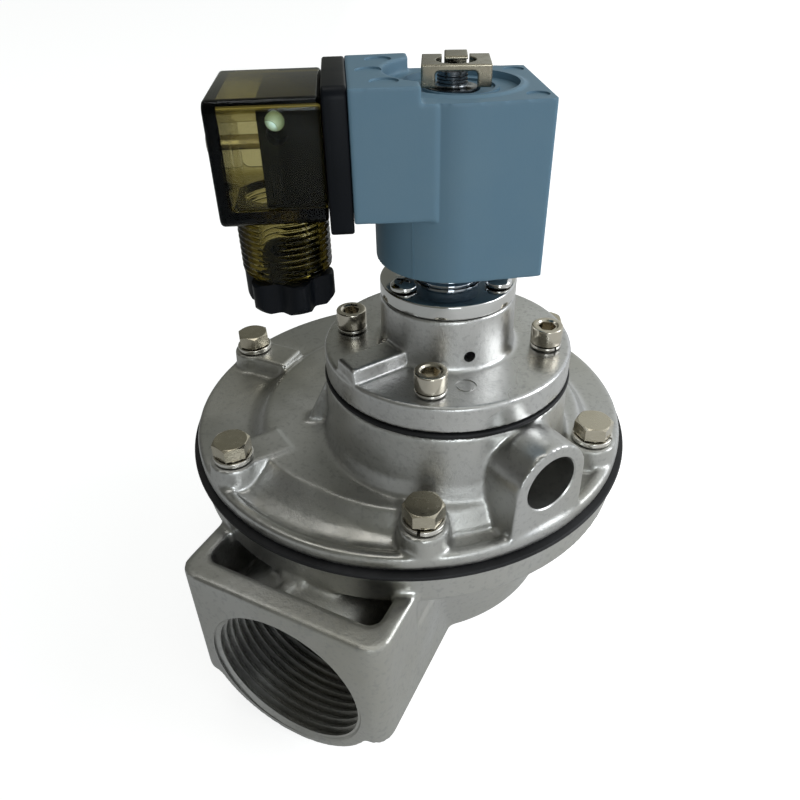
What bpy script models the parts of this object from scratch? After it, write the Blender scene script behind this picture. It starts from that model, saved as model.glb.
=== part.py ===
"""Right-angle diaphragm pulse valve for a dust collector, with its solenoid pilot.

Sizes are in millimetres and become metres when a mesh is made. The origin is the centre
of the outlet's end face, +Z runs up the outlet axis and the inlet looks along -Y.
"""
import bpy
import bmesh
from math import cos, sin, pi, radians, sqrt, acos

mm = 0.001
gap = 0.3                   # clearance between pieces that touch
round_steps = 36            # facets round the castings
medium_steps = 22
hidden_steps = 18
small_steps = 12

# port thread, a G 1 1/4 parallel pipe thread
thread_major = 20.95
thread_minor = 19.48
thread_pitch = 2.309
thread_chamfer = 0.6
thread_lead_in = 1.2
thread_turns = 6
hidden_thread_turns = 3

# body casting
flange_radius = 56.0
body_flange_thickness = 8.4
body_top_z = 57.1
bolt_inset = 6.2            # bolt circle, in from the flange's edge
chamber_inset = 6.8         # chamber wall, in from the bolt circle
bowl_wall = 4.5
bowl_taper = 7.5
bowl_floor_z = 16.0
bowl_floor_wall = 4.2
outlet_boss_radius = 26.0
nozzle_radius = 24.2
seat_drop = 7.1             # main seat, below the flange's face
inlet_z = 26.0
inlet_reach = 11.2          # inlet face, out from the flange's edge
inlet_pipe_radius = 23.3
box_half_width = 26.4
box_height = 35.8
box_wall = 4.2
box_front_wall = 6.0
box_floor_z = 33.0
box_corner = 5.0
box_step = 0.7              # the box's sides step in where they meet the flange
box_step_length = 17.8
box_step_z = 39.2
arrow_offset = -2.0
arrow_length = 9.4
arrow_head = 4.0
arrow_half_width = 3.2
arrow_shaft = 1.1
arrow_height = 0.7

# clamp ring of bolts
bolt_count = 6
bolt_radius = 2.5
bolt_head_flats = 8.0
bolt_head_height = 3.5
bolt_length = 19.0
washer_height = 1.2
washer_width = 1.95

# diaphragms and their discs
sheet = 1.2
second_sheet = 1.0
sheet_overhang = 1.5
second_sheet_overhang = 0.4
seat_overlap = 0.8
second_seat_overlap = 1.2
main_disc_height = 2.4
second_disc_height = 1.8
disc_plate_radius = 18.0
disc_plate_thickness = 1.0
spring_seat = 14.2
spring_seat_wall = 1.2
spring_seat_height = 0.8
disc_screw_radius = 3.0
disc_screw_flats = 9.0
disc_screw_head = 2.2
main_spring_radius = 10.5
main_spring_wire = 0.55
second_plate_radius = 8.4
second_hub_radius = 4.0
second_spring_radius = 5.2
second_spring_wire = 0.4

# cover casting
cover_flange_thickness = 3.8
plateau_height = 8.1        # above the cover's lower face
plateau_inset = 9.8         # plateau's edge, in from the bolt circle
plateau_draft = 4.5
plateau_shift = 7.0
plateau_foot_shift = 5.0
pad_height = 8.6
pad_half_width = 4.6
pad_draft = 1.2
pad_overlap = 3.4           # how far a pad runs in over the plateau
bolt_boss_radius = 5.7
bolt_boss_draft = 0.4
hollow_inset = 2.0
cover_hollow_height = 4.6
lip_width = 2.6
pocket_depth = 1.5
pocket_inner_radius = 46.0
pilot_angle = radians(-30)  # direction of the exhaust, seen from above
pot_clearance = 7.7         # between the pot and the two bolts beside the exhaust
pot_flare = 4.6
pot_height = 25.0
rib_half_width = 1.8
left_rib_angle = radians(-128)
back_rib_angle = radians(135)
cap_screw_inset = 5.8       # cap screws, in from the pot's edge
ring_wall = 10.2
ring_floor_thickness = 4.5
second_nozzle_radius = 9.2
second_seat_drop = 2.6
second_bore_radius = 6.4
exhaust_radius = 6.6
exhaust_boss_radius = 9.6
exhaust_reach = 9.4         # exhaust face, out from the pot
exhaust_height = 15.1
tunnel_radius = 5.2         # passage from the second seat to the exhaust
tunnel_wall = 1.7
tunnel_drop = 0.6
transfer_radius = 3.2       # air from the second chamber to the space over the main disc
transfer_place = 13.6

# pilot cap
cap_thickness = 6.3
cap_screw_radius = 2.0
cap_screw_head = 3.5
cap_screw_head_height = 4.0
cap_screw_key = 3.0
cap_washer_height = 0.7
cap_hollow_height = 4.4
cap_rib_offset = 1.2
cap_rib_half_width = 3.4
cap_rib_height = 3.3
cap_screw_gap = 7.6         # cap screws, out from the collar
collar_height = 12.3
bleed_height = 3.6
bleed_radius = 1.15
bleed_angle = radians(-18)
recess_inner = 2.2
recess_depth = 4.0
orifice_radius = 0.9
orifice_seat_radius = 1.8
orifice_seat_height = 1.6
feed_radius = 1.0
feed_place = 6.0
plate_thickness = 3.2
plate_step = 1.4
plate_screw_gap = 4.2       # plate screws, out from the core tube's base
plate_screw_inset = 3.6     # and in from the plate's edge
plate_screw_radius = 1.5
plate_screw_head = 2.9
plate_screw_height = 1.8

# solenoid
coil_angle = radians(31)    # the connector points the other way
tube_base_radius = 7.2
seal_width = 2.0
tube_base_height = 7.5      # of the tube's base that shows under the coil
tube_radius = 5.0
tube_bore = 4.2
core_rise = 2.9             # top of the fixed core, above the coil
core_depth = 16.0           # fixed core's lower end, below the coil's top
clip_lift = 0.9             # underside of the clip above the coil
clip_sheet = 0.7
clip_tab_height = 4.2
clip_tab_width = 4.0
clip_half_width = 6.8
clip_front = 6.4
clip_back = 5.9
clip_turn = radians(-38)
coil_radius = 15.5
coil_end = 16.7
coil_height = 31.8
lug_height = 20.5           # from its underside to the coil's top
lug_rise = 2.9
lug_half_width = 15.3
lug_face = 19.9
lug_step = 8.2
groove_inner = 10.7
groove_outer = 14.2
groove_depth = 0.9
stamp_radius = 2.6
stamp_places = [(-15.6, 0.0), (-13.4, -9.7), (-13.4, 9.7)]
plunger_stroke = 1.5
plunger_pocket = 7.0
plunger_seal_radius = 1.8
plunger_spring_radius = 1.7
plunger_spring_wire = 0.3

# connector
gasket_thickness = 4.1
gasket_half_width = 14.3
gasket_height = 26.0
connector_drop = 12.8       # middle of the connector, below the lug's top
shell_length = 20.2
shell_half_width = 13.6
shell_height = 22.6
shell_wall = 1.7
neck_inset = 9.4
neck_radius = 9.0
neck_length = 15.5
neck_wall = 2.0
nut_height = 7.0
nut_reach = 2.6
cable_radius = 4.0
blade_half_width = 3.0
blade_half_thickness = 0.4
blade_spread = 6.5
blade_drop = 8.0
blade_rise = 2.0
blade_reach = 7.5
blade_root = 4.0
block_length = 11.2
screw_hole_radius = 1.8
connector_screw_radius = 1.5
connector_screw_head = 2.8
lamp_radius = 1.6
lamp_inset = 8.0
lamp_drop = 6.2
lamp_depth = 6.0

# radii and distances that follow from the sizes above
bolt_circle = flange_radius - bolt_inset
chamber_radius = bolt_circle - chamber_inset
bowl_top_radius = chamber_radius + bowl_wall
bowl_radius = bowl_top_radius - bowl_taper
inlet_face = flange_radius + inlet_reach
main_sheet_radius = flange_radius + sheet_overhang
main_disc_radius = nozzle_radius + seat_overlap
cover_hollow_radius = chamber_radius - hollow_inset
plateau_radius = bolt_circle - plateau_inset
plateau_foot_radius = plateau_radius + plateau_draft
pad_inner = plateau_radius - pad_overlap
recess_radius = tube_base_radius + seal_width
plate_screw_circle = tube_base_radius + plate_screw_gap
collar_radius = plate_screw_circle + plate_screw_inset
cap_screw_circle = collar_radius + cap_screw_gap
pot_radius = cap_screw_circle + cap_screw_inset
pot_foot_radius = pot_radius + pot_flare
bolt_side = pi / bolt_count
pilot_shift = bolt_circle * cos(bolt_side) - sqrt(
    (pot_radius + pot_clearance) ** 2 - (bolt_circle * sin(bolt_side)) ** 2)
second_sheet_radius = pot_radius + second_sheet_overhang
ring_chamber_radius = pot_radius - ring_wall
cap_hollow_radius = ring_chamber_radius - 1.2
second_disc_radius = second_nozzle_radius + second_seat_overlap
exhaust_face = pilot_shift + pot_radius + exhaust_reach
gasket_near = lug_face + gap
gasket_far = gasket_near + gasket_thickness
shell_near = gasket_far + gap
shell_far = shell_near + shell_length
neck_offset = shell_near + neck_inset

# levels that follow from the sizes above
flange_z = body_top_z - body_flange_thickness
seat_z = body_top_z - seat_drop
chamber_floor_z = bowl_floor_z + bowl_floor_wall
box_top_z = bowl_floor_z + box_height
main_sheet_z = body_top_z + gap
cover_z = main_sheet_z + sheet + gap
cover_flange_top = cover_z + cover_flange_thickness
cover_hollow_z = cover_z + cover_hollow_height
plateau_z = cover_z + plateau_height
pad_z = cover_z + pad_height
pot_top_z = cover_z + pot_height
ring_floor = cover_hollow_z + ring_floor_thickness
second_seat_z = pot_top_z - second_seat_drop
exhaust_z = cover_z + exhaust_height
tunnel_z = exhaust_z - tunnel_drop
second_sheet_z = pot_top_z + gap
cap_z = second_sheet_z + second_sheet + gap
cap_hollow_z = cap_z + cap_hollow_height
cap_top_z = cap_z + cap_thickness
bleed_z = cap_top_z + bleed_height
collar_top_z = cap_top_z + collar_height
recess_floor = collar_top_z - recess_depth
plate_z = collar_top_z + gap
plate_top_z = plate_z + plate_thickness
coil_bottom_z = plate_top_z + tube_base_height
coil_top_z = coil_bottom_z + coil_height
tube_top_z = coil_top_z + core_rise
lug_bottom_z = coil_top_z - lug_height
lug_top_z = coil_top_z + lug_rise
terminal_z = (lug_bottom_z + lug_top_z) / 2
connector_z = lug_top_z - connector_drop
gasket_bottom_z = connector_z - gasket_height / 2
gasket_top_z = connector_z + gasket_height / 2
shell_bottom_z = connector_z - shell_height / 2
shell_top_z = connector_z + shell_height / 2
neck_bottom_z = shell_bottom_z - neck_length

for old in list(bpy.data.objects):
    bpy.data.objects.remove(old, do_unlink=True)


def make_material(name, colour, roughness, metallic, alpha=1.0):
    material = bpy.data.materials.new(name)
    material.use_nodes = True
    shader = material.node_tree.nodes["Principled BSDF"]
    shader.inputs["Base Color"].default_value = (*colour, 1.0)
    shader.inputs["Roughness"].default_value = roughness
    shader.inputs["Metallic"].default_value = metallic
    shader.inputs["Alpha"].default_value = alpha
    return material


cast = make_material("cast_aluminium", (0.62, 0.61, 0.58), 0.32, 1.0)
rubber = make_material("black_rubber", (0.02, 0.02, 0.022), 0.6, 0.0)
nickel = make_material("nickel_plate", (0.66, 0.63, 0.55), 0.2, 1.0)
steel = make_material("spring_steel", (0.58, 0.57, 0.55), 0.25, 1.0)
chrome = make_material("polished_steel", (0.75, 0.76, 0.78), 0.08, 1.0)
brass = make_material("brass", (0.75, 0.58, 0.28), 0.3, 1.0)
moulding = make_material("blue_grey_moulding", (0.10, 0.19, 0.27), 0.5, 0.0)
black_plastic = make_material("black_plastic", (0.012, 0.013, 0.015), 0.4, 0.0)
clear_plastic = make_material("smoky_clear_plastic", (0.25, 0.22, 0.08), 0.1, 0.0, 0.45)
lamp_plastic = make_material("lamp_plastic", (0.6, 0.8, 0.65), 0.2, 0.0)


def make_empty(name, x, y, angle):
    empty = bpy.data.objects.new(name, None)
    empty.location = (x * mm, y * mm, 0)
    empty.rotation_euler = (0, 0, angle)
    bpy.context.collection.objects.link(empty)
    return empty


exhaust_frame = make_empty("exhaust_frame", 0, 0, pilot_angle)
pilot_x, pilot_y = pilot_shift * cos(pilot_angle), pilot_shift * sin(pilot_angle)
pilot_frame = make_empty("pilot_frame", pilot_x, pilot_y, pilot_angle)
coil_frame = make_empty("coil_frame", pilot_x, pilot_y, coil_angle)


def finish(name, bm, material=None, frame=None, smooth=35):
    """Turns a bmesh into an object; one without a material is a cutter or a guide."""
    bmesh.ops.recalc_face_normals(bm, faces=bm.faces)
    bmesh.ops.scale(bm, vec=(mm, mm, mm), verts=bm.verts)
    mesh = bpy.data.meshes.new(name)
    bm.to_mesh(mesh)
    bm.free()
    mesh.shade_smooth()
    mesh.set_sharp_from_angle(angle=radians(smooth))
    obj = bpy.data.objects.new(name, mesh)
    bpy.context.collection.objects.link(obj)
    if material:
        mesh.materials.append(material)
    else:
        obj.hide_render = True
        obj.display_type = "WIRE"
    obj.parent = frame
    return obj


def revolve(name, profile, material=None, frame=None, steps=round_steps, start=0.0, angle=2 * pi):
    """Spins a closed outline of (radius, height) points about the local Z axis."""
    bm = bmesh.new()
    points = [bm.verts.new((r * cos(start), r * sin(start), z)) for r, z in profile]
    if angle < 2 * pi:
        geometry = [bm.faces.new(points)]
    else:
        pairs = []
        for i in range(len(points)):
            if profile[i - 1][0] or profile[i][0]:
                pairs.append((points[i - 1], points[i]))
        geometry = [bm.edges.new(pair) for pair in pairs]
    bmesh.ops.spin(bm, geom=geometry, cent=(0, 0, 0), axis=(0, 0, 1), angle=angle, steps=steps)
    bmesh.ops.remove_doubles(bm, verts=bm.verts, dist=0.0005)
    bmesh.ops.dissolve_degenerate(bm, edges=bm.edges, dist=0.0005)
    bmesh.ops.delete(bm, geom=[edge for edge in bm.edges if not edge.link_faces], context="EDGES")
    return finish(name, bm, material, frame)


def prism(name, outlines, low, high, material=None, frame=None, axis="Z"):
    """Extrudes flat outlines along an axis of the frame."""
    bm = bmesh.new()
    places = {"Z": lambda a, b: (a, b, low), "X": lambda a, b: (low, a, b), "Y": lambda a, b: (a, low, b)}
    moves = {"Z": (0, 0, high - low), "X": (high - low, 0, 0), "Y": (0, high - low, 0)}
    for outline in outlines:
        face = bm.faces.new([bm.verts.new(places[axis](a, b)) for a, b in outline])
        top = bmesh.ops.extrude_face_region(bm, geom=[face])
        moved = [item for item in top["geom"] if isinstance(item, bmesh.types.BMVert)]
        bmesh.ops.translate(bm, vec=moves[axis], verts=moved)
    return finish(name, bm, material, frame)


def loft(name, rings, material=None, frame=None):
    """Joins rings of equally many points, and closes the first and the last."""
    bm = bmesh.new()
    loops = [[bm.verts.new(point) for point in ring] for ring in rings]
    count = len(rings[0])
    for lower, upper in zip(loops, loops[1:]):
        for i in range(count):
            j = (i + 1) % count
            bm.faces.new((lower[i], lower[j], upper[j], upper[i]))
    bm.faces.new(loops[0])
    bm.faces.new(loops[-1])
    return finish(name, bm, material, frame)


def ring(radius, z, count=12, x=0.0, y=0.0):
    return [(x + radius * cos(2 * pi * i / count), y + radius * sin(2 * pi * i / count), z)
            for i in range(count)]


def polygon_ring(flats, sides, z, count=12):
    """A ring of points on a regular polygon of that width across its flats."""
    points = []
    for i in range(count):
        a = 2 * pi * i / count
        from_middle = (a + pi / sides) % (2 * pi / sides) - pi / sides
        r = flats / 2 / cos(pi / sides - abs(from_middle))
        points.append((r * cos(a), r * sin(a), z))
    return points


def circle(radius, x=0.0, y=0.0, count=16, start=0.0, end=2 * pi):
    """Points of an arc; a full circle leaves out its repeated last point."""
    full = abs(end - start) > 2 * pi - 0.001
    steps = count if full else count - 1
    return [(x + radius * cos(start + (end - start) * i / steps),
             y + radius * sin(start + (end - start) * i / steps)) for i in range(count)]


def rectangle(x0, x1, y0, y1):
    return [(x0, y0), (x1, y0), (x1, y1), (x0, y1)]


def rounded_rectangle(x0, x1, y0, y1, radius, steps=4):
    corners = [(x1 - radius, y0 + radius, -pi / 2), (x1 - radius, y1 - radius, 0),
               (x0 + radius, y1 - radius, pi / 2), (x0 + radius, y0 + radius, pi)]
    points = []
    for x, y, a in corners:
        points += circle(radius, x, y, steps + 1, a, a + pi / 2)
    return points


def around(count, radius, start=0.0):
    """Places spread evenly round a circle."""
    return [point[:2] for point in circle(radius, 0, 0, count, start, start + 2 * pi)]


def combine(target, tool, operation):
    modifier = target.modifiers.new(operation.lower(), "BOOLEAN")
    modifier.operation = operation
    modifier.solver = "EXACT"
    modifier.object = tool


def cut(target, *tools):
    for tool in tools:
        combine(target, tool, "DIFFERENCE")


def join(target, *tools):
    for tool in tools:
        combine(target, tool, "UNION")


def thread_outline(mouth, deep, bore, turns):
    """Half section of a threaded bore: a V groove for each turn, then a plain bore."""
    mouth_radius = thread_major + thread_chamfer
    points = [(0.0, mouth - 1.0), (mouth_radius, mouth - 1.0), (mouth_radius, mouth)]
    z = mouth + thread_lead_in
    for _ in range(turns):
        points += [(thread_minor, z), (thread_major, z + thread_pitch / 2)]
        z += thread_pitch
    return points + [(thread_minor, z), (bore, z + 1.5), (bore, deep), (0.0, deep)]


def coil_spring(name, radius, wire, low, high, turns, frame):
    """A round wire wound about Z, its ends inside the given heights."""
    sides, steps = 4, 8
    bm = bmesh.new()
    loops = []
    total = turns * steps
    for i in range(total + 1):
        a = 2 * pi * i / steps
        z = low + wire + (high - low - 2 * wire) * i / total
        loop = []
        for k in range(sides):
            b = 2 * pi * k / sides
            r = radius + wire * cos(b)
            loop.append(bm.verts.new((r * cos(a), r * sin(a), z + wire * sin(b))))
        loops.append(loop)
    for first, second in zip(loops, loops[1:]):
        for k in range(sides):
            j = (k + 1) % sides
            bm.faces.new((first[k], first[j], second[j], second[k]))
    bm.faces.new(loops[0])
    bm.faces.new(loops[-1])
    return finish(name, bm, steel, frame)


def lock_washer(name, outer, inner, z, height, x, y, frame, turn):
    """A flat coil of square wire with one gap in it."""
    washer = revolve(name, [(inner, 0), (outer, 0), (outer, height), (inner, height)],
                     steel, frame, 10, turn, 2 * pi - 0.16)
    washer.location = (x * mm, y * mm, z * mm)
    return washer


# body casting
body = revolve("valve_body", [
    (0, 0), (outlet_boss_radius - 1, 0), (outlet_boss_radius, 1),
    (outlet_boss_radius, bowl_floor_z - 2), (outlet_boss_radius + 2, bowl_floor_z),
    (bowl_radius - 3, bowl_floor_z), (bowl_radius - 0.9, bowl_floor_z + 0.9),
    (bowl_radius, bowl_floor_z + 3), (bowl_top_radius - 1.5, flange_z - 8),
    (bowl_top_radius, flange_z - 3), (bowl_top_radius + 3, flange_z), (flange_radius - 0.7, flange_z),
    (flange_radius, flange_z + 0.7), (flange_radius, body_top_z), (0, body_top_z)], cast)

box = prism("inlet_box_guide", [rounded_rectangle(
    -box_half_width, box_half_width, -inlet_face, -nozzle_radius, box_corner)], bowl_floor_z, box_top_z)
pocket = prism("inlet_pocket_cutter", [rounded_rectangle(
    -box_half_width + box_wall, box_half_width - box_wall, -inlet_face + box_front_wall, -bowl_radius - 1,
    box_corner - 1.5)], box_floor_z, box_top_z + 5)
step_outer, step_inner = box_half_width + 1, box_half_width - box_step
box_steps = prism("box_step_cutter", [
    rectangle(min(side * step_outer, side * step_inner), max(side * step_outer, side * step_inner),
              -inlet_face + box_step_length, -nozzle_radius + 1) for side in (-1, 1)],
    box_step_z, box_top_z + 1)
cut(box, pocket, box_steps)
pipe = revolve("inlet_pipe_guide", [
    (0, nozzle_radius - 2), (inlet_pipe_radius, nozzle_radius - 2), (inlet_pipe_radius, inlet_face - 0.6),
    (inlet_pipe_radius - 0.6, inlet_face), (0, inlet_face)])
pipe.location.z = inlet_z * mm
pipe.rotation_euler.x = pi / 2
arrow_tail = -inlet_face + box_front_wall - 1.4
arrow_neck = arrow_tail + arrow_length - arrow_head
arrow = prism("flow_arrow_guide", [[
    (arrow_offset - arrow_shaft, arrow_tail), (arrow_offset + arrow_shaft, arrow_tail),
    (arrow_offset + arrow_shaft, arrow_neck), (arrow_offset + arrow_half_width, arrow_neck),
    (arrow_offset, arrow_tail + arrow_length), (arrow_offset - arrow_half_width, arrow_neck),
    (arrow_offset - arrow_shaft, arrow_neck)]],
    inlet_z + inlet_pipe_radius - 2, inlet_z + inlet_pipe_radius + arrow_height)
join(body, box, pipe, arrow)

chamber = revolve("chamber_cutter", [
    (nozzle_radius, chamber_floor_z + 2), (nozzle_radius + 2, chamber_floor_z),
    (bowl_radius - 6, chamber_floor_z), (bowl_radius - 3.5, chamber_floor_z + 2.5),
    (chamber_radius, flange_z - 4), (chamber_radius, body_top_z + 5), (0, body_top_z + 5),
    (0, seat_z), (nozzle_radius - 1.2, seat_z), (nozzle_radius, seat_z - 1.2)], steps=medium_steps)
outlet_bore = revolve("outlet_bore_cutter", thread_outline(
    0.0, seat_z + 1, thread_minor, hidden_thread_turns), steps=medium_steps)
inlet_bore = revolve("inlet_bore_cutter", [(r, inlet_face - z) for r, z in thread_outline(
    0.0, inlet_face - nozzle_radius - 2.6, thread_minor - 0.2, thread_turns)], steps=medium_steps)
inlet_bore.location.z = inlet_z * mm
inlet_bore.rotation_euler.x = pi / 2
bolt_places = around(bolt_count, bolt_circle)
body_holes = prism("body_bolt_cutter", [circle(bolt_radius + gap, x, y, 8) for x, y in bolt_places],
                   flange_z + 1, body_top_z + 5)
cut(body, chamber, outlet_bore, inlet_bore, body_holes)

# main diaphragm and its disc
web_outer = chamber_radius - 2 * gap
main_rim = revolve("main_diaphragm_rim", [
    (web_outer + gap, main_sheet_z), (main_sheet_radius, main_sheet_z),
    (main_sheet_radius, main_sheet_z + sheet), (web_outer + gap, main_sheet_z + sheet)], rubber)
rim_holes = prism("rim_bolt_cutter", [circle(bolt_radius + gap, x, y, 8) for x, y in bolt_places],
                  main_sheet_z - 2, main_sheet_z + sheet + 2)
cut(main_rim, rim_holes)
disc_z = seat_z + gap
disc_top = disc_z + main_disc_height
disc_bore = disc_screw_radius + gap
web_inner = main_disc_radius + gap
web_z = disc_z + sheet / 2
main_web = revolve("main_diaphragm_web", [
    (web_inner, web_z), (web_inner + 3, web_z), (web_outer - 3, main_sheet_z), (web_outer, main_sheet_z),
    (web_outer, main_sheet_z + sheet), (web_outer - 3.6, main_sheet_z + sheet),
    (web_inner + 2.4, web_z + sheet), (web_inner, web_z + sheet)], rubber, steps=hidden_steps)
main_disc = revolve("main_disc", [
    (disc_bore, disc_z), (main_disc_radius - 0.8, disc_z), (main_disc_radius, disc_z + 0.8),
    (main_disc_radius, disc_top), (disc_bore, disc_top)], rubber, steps=hidden_steps)
disc_plate_z = disc_top + gap
disc_plate_top = disc_plate_z + disc_plate_thickness
seat_lip = spring_seat - spring_seat_wall
main_plate = revolve("main_disc_plate", [
    (disc_bore, disc_plate_z), (disc_plate_radius, disc_plate_z), (disc_plate_radius, disc_plate_top),
    (spring_seat, disc_plate_top), (spring_seat, disc_plate_top + spring_seat_height),
    (seat_lip, disc_plate_top + spring_seat_height), (seat_lip, disc_plate_top),
    (disc_bore, disc_plate_top)], steel, steps=hidden_steps)
head_low, head_high = disc_z - gap, disc_plate_top + gap
loft("main_disc_screw", [
    polygon_ring(disc_screw_flats, 6, head_low - disc_screw_head),
    polygon_ring(disc_screw_flats, 6, head_low), ring(disc_screw_radius, head_low),
    ring(disc_screw_radius, head_high), polygon_ring(disc_screw_flats, 6, head_high),
    polygon_ring(disc_screw_flats, 6, head_high + disc_screw_head)], steel)
coil_spring("main_spring", main_spring_radius, main_spring_wire, disc_plate_top + gap,
            cover_hollow_z - gap, 4, None)

# cover casting
cover = revolve("main_cover", [
    (0, cover_z), (flange_radius, cover_z), (flange_radius, cover_flange_top - 0.7),
    (flange_radius - 0.7, cover_flange_top), (0, cover_flange_top)], cast)
plateau_rings = []
for radius, shift, z in ((plateau_foot_radius, plateau_foot_shift, cover_flange_top - 1.0),
                         (plateau_foot_radius, plateau_foot_shift, cover_flange_top),
                         (plateau_radius + 0.6, plateau_shift, plateau_z - 0.5),
                         (plateau_radius, plateau_shift, plateau_z)):
    plateau_rings.append(ring(radius, z, round_steps, shift * cos(pilot_angle), shift * sin(pilot_angle)))
plateau = loft("plateau_guide", plateau_rings)


def sector_cutter(name, start, end):
    """A shallow ring-shaped pocket just inside the rim, between two angles in degrees."""
    outer, floor = flange_radius - lip_width, cover_flange_top - pocket_depth
    return revolve(name, [
        (pocket_inner_radius, floor + 0.6), (outer - 1.0, floor), (outer, floor + 0.6),
        (outer, cover_flange_top + 1), (pocket_inner_radius, cover_flange_top + 1)],
        steps=10, start=radians(start), angle=radians(end - start))


cut(cover, sector_cutter("front_pocket_cutter", -113, -67),
    sector_cutter("left_boss_pocket_cutter", -53, -41), sector_cutter("right_boss_pocket_cutter", -19, -7))


def pad_ring(half_width, boss_radius, z, angle):
    """Outline of a bolt pad: a strip that runs out from the plateau to a round boss."""
    wide = pi - acos(sqrt(boss_radius ** 2 - half_width ** 2) / boss_radius)
    outline = [(pad_inner, -half_width)] + circle(boss_radius, bolt_circle, 0, 12, -wide, wide)
    outline += [(pad_inner, half_width)]
    return [(x * cos(angle) - y * sin(angle), x * sin(angle) + y * cos(angle), z) for x, y in outline]


pads = []
for i in range(bolt_count):
    a = 2 * pi * i / bolt_count
    pads.append(loft(f"bolt_pad_guide_{i + 1}", [
        pad_ring(pad_half_width + pad_draft, bolt_boss_radius + bolt_boss_draft, cover_flange_top - 1.2, a),
        pad_ring(pad_half_width, bolt_boss_radius, pad_z, a)]))

pot = revolve("pot_guide", [
    (0, cover_z + 1.5), (pot_foot_radius, cover_z + 1.5), (pot_foot_radius, cover_flange_top + 0.3),
    (pot_foot_radius - 1.7, cover_flange_top + 1.4), (pot_foot_radius - 3.0, cover_flange_top + 4.0),
    (pot_radius + 0.8, cover_flange_top + 8.0), (pot_radius, pot_top_z), (0, pot_top_z)], frame=pilot_frame)
arch = [(exhaust_boss_radius, cover_z + 1.5)] + circle(exhaust_boss_radius, 0, exhaust_z, 13, 0, pi)
arch += [(-exhaust_boss_radius, cover_z + 1.5)]
boss = prism("exhaust_boss_guide", [arch], pilot_shift + 8, exhaust_face, frame=exhaust_frame, axis="X")


def pot_rib(name, angle):
    """A gusset from the plateau up to a cap screw's boss."""
    rib = prism(name, [[
        (pot_radius - 4, plateau_z - 1.5), (pot_radius + 7.2, plateau_z - 1.5),
        (pot_radius + 6.6, plateau_z + 0.8), (pot_radius - 0.6, pot_top_z - 2.0),
        (pot_radius - 4, pot_top_z - 2.0)]], -rib_half_width, rib_half_width, frame=pilot_frame, axis="Y")
    rib.rotation_euler.z = angle
    return rib


join(cover, plateau, pot, *pads, pot_rib("left_rib_guide", left_rib_angle),
     pot_rib("back_rib_guide", back_rib_angle), boss)

hollow = revolve("cover_hollow_cutter", [
    (0, cover_z - 2), (cover_hollow_radius, cover_z - 2), (cover_hollow_radius, cover_z),
    (cover_hollow_radius - 7, cover_hollow_z - 0.8), (cover_hollow_radius - 9, cover_hollow_z),
    (0, cover_hollow_z)], steps=medium_steps)
ring_chamber = revolve("ring_chamber_cutter", [
    (second_nozzle_radius, ring_floor), (ring_chamber_radius, ring_floor),
    (ring_chamber_radius, pot_top_z + 2), (0, pot_top_z + 2), (0, second_seat_z),
    (second_nozzle_radius, second_seat_z)],
    frame=pilot_frame, steps=medium_steps)
tunnel = prism("tunnel_guide", [circle(tunnel_radius + tunnel_wall, 0, tunnel_z, 14)],
               second_nozzle_radius - 2, ring_chamber_radius + 1, frame=pilot_frame, axis="X")
tunnel_bore = prism("tunnel_bore_cutter", [circle(tunnel_radius, 0, tunnel_z, 13)],
                    0, ring_chamber_radius + 4, frame=pilot_frame, axis="X")
exhaust_bore = prism("exhaust_bore_cutter", [circle(exhaust_radius, 0, exhaust_z, 22)],
                     ring_chamber_radius + 3.5, exhaust_face + 2, frame=pilot_frame, axis="X")
nozzle_bore = prism("second_nozzle_cutter", [circle(second_bore_radius, count=16)],
                    tunnel_z, second_seat_z + 1, frame=pilot_frame)
transfer = prism("transfer_cutter", [circle(transfer_radius, -transfer_place, 0, 12)],
                 cover_hollow_z - 1, ring_floor + 1, frame=pilot_frame)
cover_holes = prism("cover_bolt_cutter", [circle(bolt_radius + gap, x, y, 8) for x, y in bolt_places],
                    cover_z - 2, pad_z + 2)
cap_screw_places = around(4, cap_screw_circle, pi / 4)
pot_holes = prism("pot_screw_cutter", [circle(cap_screw_radius + gap, x, y, 8) for x, y in cap_screw_places],
                  pot_top_z - 9, pot_top_z + 2, frame=pilot_frame)
cut(cover, hollow, ring_chamber)
join(cover, tunnel)
cut(cover, tunnel_bore, exhaust_bore, nozzle_bore, transfer, cover_holes, pot_holes)

# clamp bolts
washer_z = pad_z + gap
head_z = washer_z + washer_height + gap
head_top = head_z + bolt_head_height
for i, (x, y) in enumerate(bolt_places):
    lock_washer(f"cover_washer_{i + 1}", bolt_radius + 0.35 + washer_width, bolt_radius + 0.35, washer_z,
                washer_height, x, y, None, i)
    bolt = loft(f"cover_bolt_{i + 1}", [
        ring(bolt_radius - 0.4, head_z - bolt_length), ring(bolt_radius, head_z - bolt_length + 0.5),
        ring(bolt_radius, head_z), ring(bolt_head_flats / 2, head_z),
        polygon_ring(bolt_head_flats, 6, head_z + 0.2), polygon_ring(bolt_head_flats, 6, head_top - 0.6),
        ring(bolt_head_flats / 2 - 0.1, head_top)], nickel)
    bolt.location = (x * mm, y * mm, 0)
    bolt.rotation_euler.z = radians(20 + 37 * i)

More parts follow.
